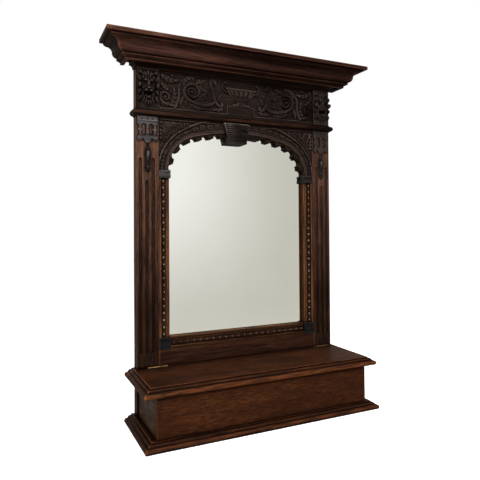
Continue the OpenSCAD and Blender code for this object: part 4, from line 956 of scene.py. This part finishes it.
for points, wide, rise, lobes in LEAVES:
    relief = leaf(relief, x, z, points, wide, rise, lobes)
far, tips = frill(x, z, SPIRAL, 11, 0, 25.5, 4, 4.8)
relief = lay(relief, far < 4, tips)
far, tips = frill(x, z, SPIRAL, 8, 0.11, 36, 8, 3.6)
relief = lay(relief, (far < 8) & (z > 834) & (z < 927), tips)
far, tips = frill(x, z, SMALL_SPIRAL, 7, 0.16, 22, 6, 3.4)
relief = lay(relief, (far < 6) & (z > 834), tips)
for points, wide, rise, thin in SCROLLS:
    relief = scroll(relief, x, z, points, wide, rise, thin)
for place, radius, rise in BOSSES:
    far = np.hypot(x - place[0], z - place[1]) / radius
    relief = lay(relief, far < 1, rise * dome(far))
relief = np.where(z < SILL, 3.0, relief)
relief = lay(relief, np.abs(z - 832.4) < 1.6, 3.2 + 1.2 * dome((z - 832.4) / 1.7))
relief = np.where(z > TOP_FILLET, 1.8, relief)
relief = np.where((x > SIDE_FILLET) & (z > 826), 1.0, relief)
relief = np.minimum(relief, FRIEZE_HIGHEST)
half_front = np.stack([x, FRIEZE_GROUND - relief, z], -1)
mirrored = half_front[:0:-1] * np.array([-1, 1, 1])
panel = carving("frieze_carved", np.concatenate([mirrored, half_front]), frieze_high.y, frieze_oak)
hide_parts("frieze_panel")

# Masks
# A lion's head carved from a block over each stile: tuft, brows, broad nose, open mouth and a
# mane of curled locks inside thin fillets.

def merge(first, second, soft=1.4):
    """The higher of two surfaces with a soft fillet between them."""
    return (first + second + np.sqrt((first - second) ** 2 + soft ** 2)) / 2 - soft * 0.25


def egg(x, z, place, reach, rise, tilt=0.0):
    """A rounded lump, as deep as its rise and tilted in the plane of the board."""
    dx, dz = x - place[0], z - place[1]
    c, s = math.cos(tilt), math.sin(tilt)
    return rise * dome(np.hypot((dx * c + dz * s) / reach[0], (dz * c - dx * s) / reach[1]))


MASK_PLATE, MASK_HIGHEST, MASK_FOOT, MASK_TOP, MASK_SIDE = 4.0, 24.3, 828, 933, 28.3
# Place, reach, height and tilt of each lump: skull, ears, cheeks, brows, nose, its tip and the muzzle
FACE = (((0, 884), (16.5, 27), 17, 0), ((14.5, 906), (5, 7.5), 15.5, 0.5), ((13, 879), (6.5, 8.5), 15.5, 0),
        ((7.4, 898.5), (8.2, 4.4), 20.5, 0.35), ((0, 890), (4.6, 14), 20.8, 0),
        ((0, 877.5), (6.8, 4.6), 25.4, 0), ((6.2, 871.6), (7.0, 5.6), 22.4, 0))
# The same for the locks of the tuft, the beard and the mane
LOCKS = (((0, 918), (3.2, 10), 13.5, 0), ((6.5, 915), (3.0, 9), 11.5, -0.35),
         ((12, 916), (2.8, 7), 8.5, -0.6), ((0, 843), (3.4, 9), 12.5, 0),
         ((6, 845), (3.0, 9), 11, 0.3), ((12, 849), (3.0, 9.5), 10, 0.45),
         ((23.6, 885), (5.4, 8.4), 22, -0.1), ((23.4, 869), (4.8, 7.4), 15, 0.2),
         ((21.6, 851), (5.0, 9), 12.5, 0.35), ((23, 903), (4.8, 9.4), 14, -0.3),
         ((20.5, 920), (4.2, 6.4), 10.5, -0.5))
CURLS = ((23.6, 886), (23, 868), (21, 850), (22.4, 904))
# Painted highlights on the masks' most projecting parts, and the right mask painted lighter than the left, as
# the light falls.
mask_oak = oak("mask_oak", (0.0235, 0.0162, 0.0134), (0.012, 0.0086, 0.0073), (0.11, 0.077, 0.064), 2,
               dirt_and_shade=0.72, painted_highlight=(FRONT / 1000 - 0.015, FRONT / 1000 - 0.027, 0.4),
               painted_shading=("X", -0.27, 0.27, 0.75, 1.5))
for hand, name in HANDS:
    low, high = (corner * 1000 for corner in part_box("mask_" + name))
    middle = (low.x + high.x) / 2
    x, z = np.meshgrid(np.linspace(low.x - middle, high.x - middle, 101), np.linspace(low.z, high.z, 191),
                       indexing="ij")
    wide = np.abs(x)
    sweep = np.arctan2(z - 880, wide)
    locks = np.abs(np.sin(sweep * 6.5 + np.hypot(wide, z - 880) * 0.2 + 0.9 * np.sin(sweep * 2.7))) ** 0.8
    head = egg(wide, z, (0, 878), (29, 49), 13) * (0.7 + 0.36 * locks)
    for place, reach, rise, tilt in FACE:
        head = merge(head, egg(wide, z, place, reach, rise, tilt))
    head = head - 5.5 * dome(np.hypot((wide - 8.3) / 5.0, (z - 890.6) / 3.6)) ** 1.2
    head = np.maximum(head, egg(wide, z, (8.3, 890.4), (3.0, 2.4), 17.6))
    head = head - np.minimum(15.0 * dome(np.hypot(wide / 12.5, (z - 864.6) / 5.0)) ** 0.8, head)
    head = merge(head, egg(wide, z, (0, 853.5), (8.0, 5.8), 19))
    for place, reach, rise, tilt in LOCKS:
        head = merge(head, egg(wide, z, place, reach, rise, tilt), 0.9)
    for curl_x, curl_z in CURLS:
        curl = np.hypot(wide - curl_x, z - curl_z)
        head = head - 1.9 * dome(np.abs(curl - 2.6) / 1.0)
    head = head - 2.2 * np.exp(-((wide - 3.2) / 1.3) ** 2 - ((z - 876) / 1.6) ** 2)
    below_top = MASK_TOP - z
    head = np.maximum(head * swell(MASK_SIDE - wide, 0, 1.4) * swell(below_top, 0.5, 2.8),
                      np.where(below_top < 2.8, 1.5, 0))
    head = np.where(z < MASK_FOOT, 0.6, head)
    head = np.clip(head, 0, MASK_HIGHEST)
    front = np.stack([middle + x, FRONT - MASK_PLATE - head, z], -1)
    mask = carving("mask_carved_" + name, front, high.y, mask_oak)
    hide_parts("mask_" + name)

# Mouldings and cornice
# Oak mouldings planed in lengths, mitred at the corners and nailed on: a half round under the frieze,
# a hollow under the cornice board and the deep cornice. The hollow and the cornice board are painted dark
# as the shade under the cornice.

# The bed mouldings and the cornice board are painted dark as the shade under the crown, and lighter towards
# the right.
SHADE_UNDER_CROWN = ((0.0135, 0.0082, 0.0062), (0.008, 0.005, 0.004), RUBBED_GLINT)
# The waist's round has painted highlights, and it is painted lighter to the left, as the light falls.
waist_lengthwise = oak("waist_lengthwise", (0.01, 0.0063, 0.0052), (0.006, 0.0043, 0.0038),
                       (0.155, 0.056, 0.024), 0, wear_and_glint=0.12, painted_highlight=(0.0785, 0.0764, 0.12),
                       painted_shading=("X", -0.3, 0.0, 1.45, 0.62))
shaded_lengthwise = oak("shaded_lengthwise", *SHADE_UNDER_CROWN, 0, wear_and_glint=0.12, painted_shading=("X", 0.0, 0.33, 1.0, 1.7))
shaded_crosswise = oak("shaded_crosswise", *SHADE_UNDER_CROWN, 1, wear_and_glint=0.12)
# The cornice is painted lighter to the left, as painted light and sheen.
crown_oak = oak("crown_oak", (0.0375, 0.016, 0.0107), (0.017, 0.0076, 0.0057), (0.17, 0.06, 0.026), 0,
                wear_and_glint=0.45, dirt_and_shade=1.0, black=0.72, reach=0.013, painted_shading=("X", -0.36, 0.06, 2.4, 0.76))
crown_end_oak = oak("crown_end_oak", (0.026, 0.0128, 0.0082), (0.0135, 0.0068, 0.0048), RUBBED_GLINT, 1)
finish_with(waist_lengthwise, "waist_front")
finish_with(crown_oak, "crown_front")
finish_with(crown_end_oak, "waist_left", "waist_right", "crown_left", "crown_right")
finish_with(shaded_lengthwise, "bed_front", "cornice_board")
finish_with(shaded_crosswise, "bed_left", "bed_right")

# Looking glass
# Thin silvered glass. Its silver is painted darker and yellower towards its right side and its foot,
# a painted reflection of the room, and has faint clouds and pinpricks.

SILVER, SILVER_PAINTED_DIM, SPOT = (0.86, 0.86, 0.81), (0.535, 0.525, 0.455), (0.3, 0.27, 0.2)
glass, tree = blank("looking_glass")
place = add(tree, "ShaderNodeTexCoord").outputs["Object"]
low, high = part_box("mirror_glass")
apart = add(tree, "ShaderNodeSeparateXYZ", Vector=place).outputs
# Painted reflection: the silver darkens towards the right and the foot, as the room's reflection would.
rightward = ranged(tree, apart["X"], low.x - 0.06, high.x - 0.02, kind="SMOOTHSTEP")
upward = ranged(tree, apart["Z"], low.z - 0.03, low.z + 0.5, -0.02, 1.2, "SMOOTHSTEP")
clear = work_out(tree, "MULTIPLY", work_out(tree, "SUBTRACT", 1.0, rightward), upward)
clouds = add(tree, "ShaderNodeTexNoise", Vector=place, Scale=9.0, Detail=4).outputs["Fac"]
clouds = add(tree, "ShaderNodeMath", {"operation": "MULTIPLY_ADD"}, i0=clouds, i1=0.12, i2=-0.06).outputs[0]
silver = two_tones(tree, work_out(tree, "ADD", clear, clouds), 0, SILVER_PAINTED_DIM, 1, SILVER)
specks = add(tree, "ShaderNodeTexVoronoi", Vector=place, Scale=420.0).outputs["Distance"]
spoilt = add(tree, "ShaderNodeTexNoise", Vector=place, Scale=26.0, Detail=2).outputs["Fac"]
whole = work_out(tree, "MAXIMUM", ranged(tree, specks, 0.05, 0.12), ranged(tree, spoilt, 0.66, 0.6))
tint = blend(tree, whole, shade_of(SPOT), silver)
skin = add(tree, "ShaderNodeBsdfPrincipled", Base_Color=tint, Metallic=1.0, Roughness=0.02)
add(tree, "ShaderNodeOutputMaterial", Surface=skin.outputs[0])
finish_with(glass, "mirror_glass")

# Back planks, nails, blocks and screws
# Three pale pine planks nailed over the glass, pine blocks glued behind the cornice, and iron nails and
# screws that have begun to rust.

pine = oak("pine", (0.235, 0.155, 0.085), (0.175, 0.108, 0.055), (0.3, 0.21, 0.12), 2, run=0.5)
iron = metal("iron", 700.0, (0.4, (0.05, 0.045, 0.042), 0.66, (0.13, 0.06, 0.03)), 0.4,
             Metallic=(0.45, 0.6, 0.85, 0.1), Roughness=0.55)
finish_with(pine, "back_plank_left", "back_plank_middle", "back_plank_right", "glue_blocks")
finish_with(iron, "back_nails", "base_screws")
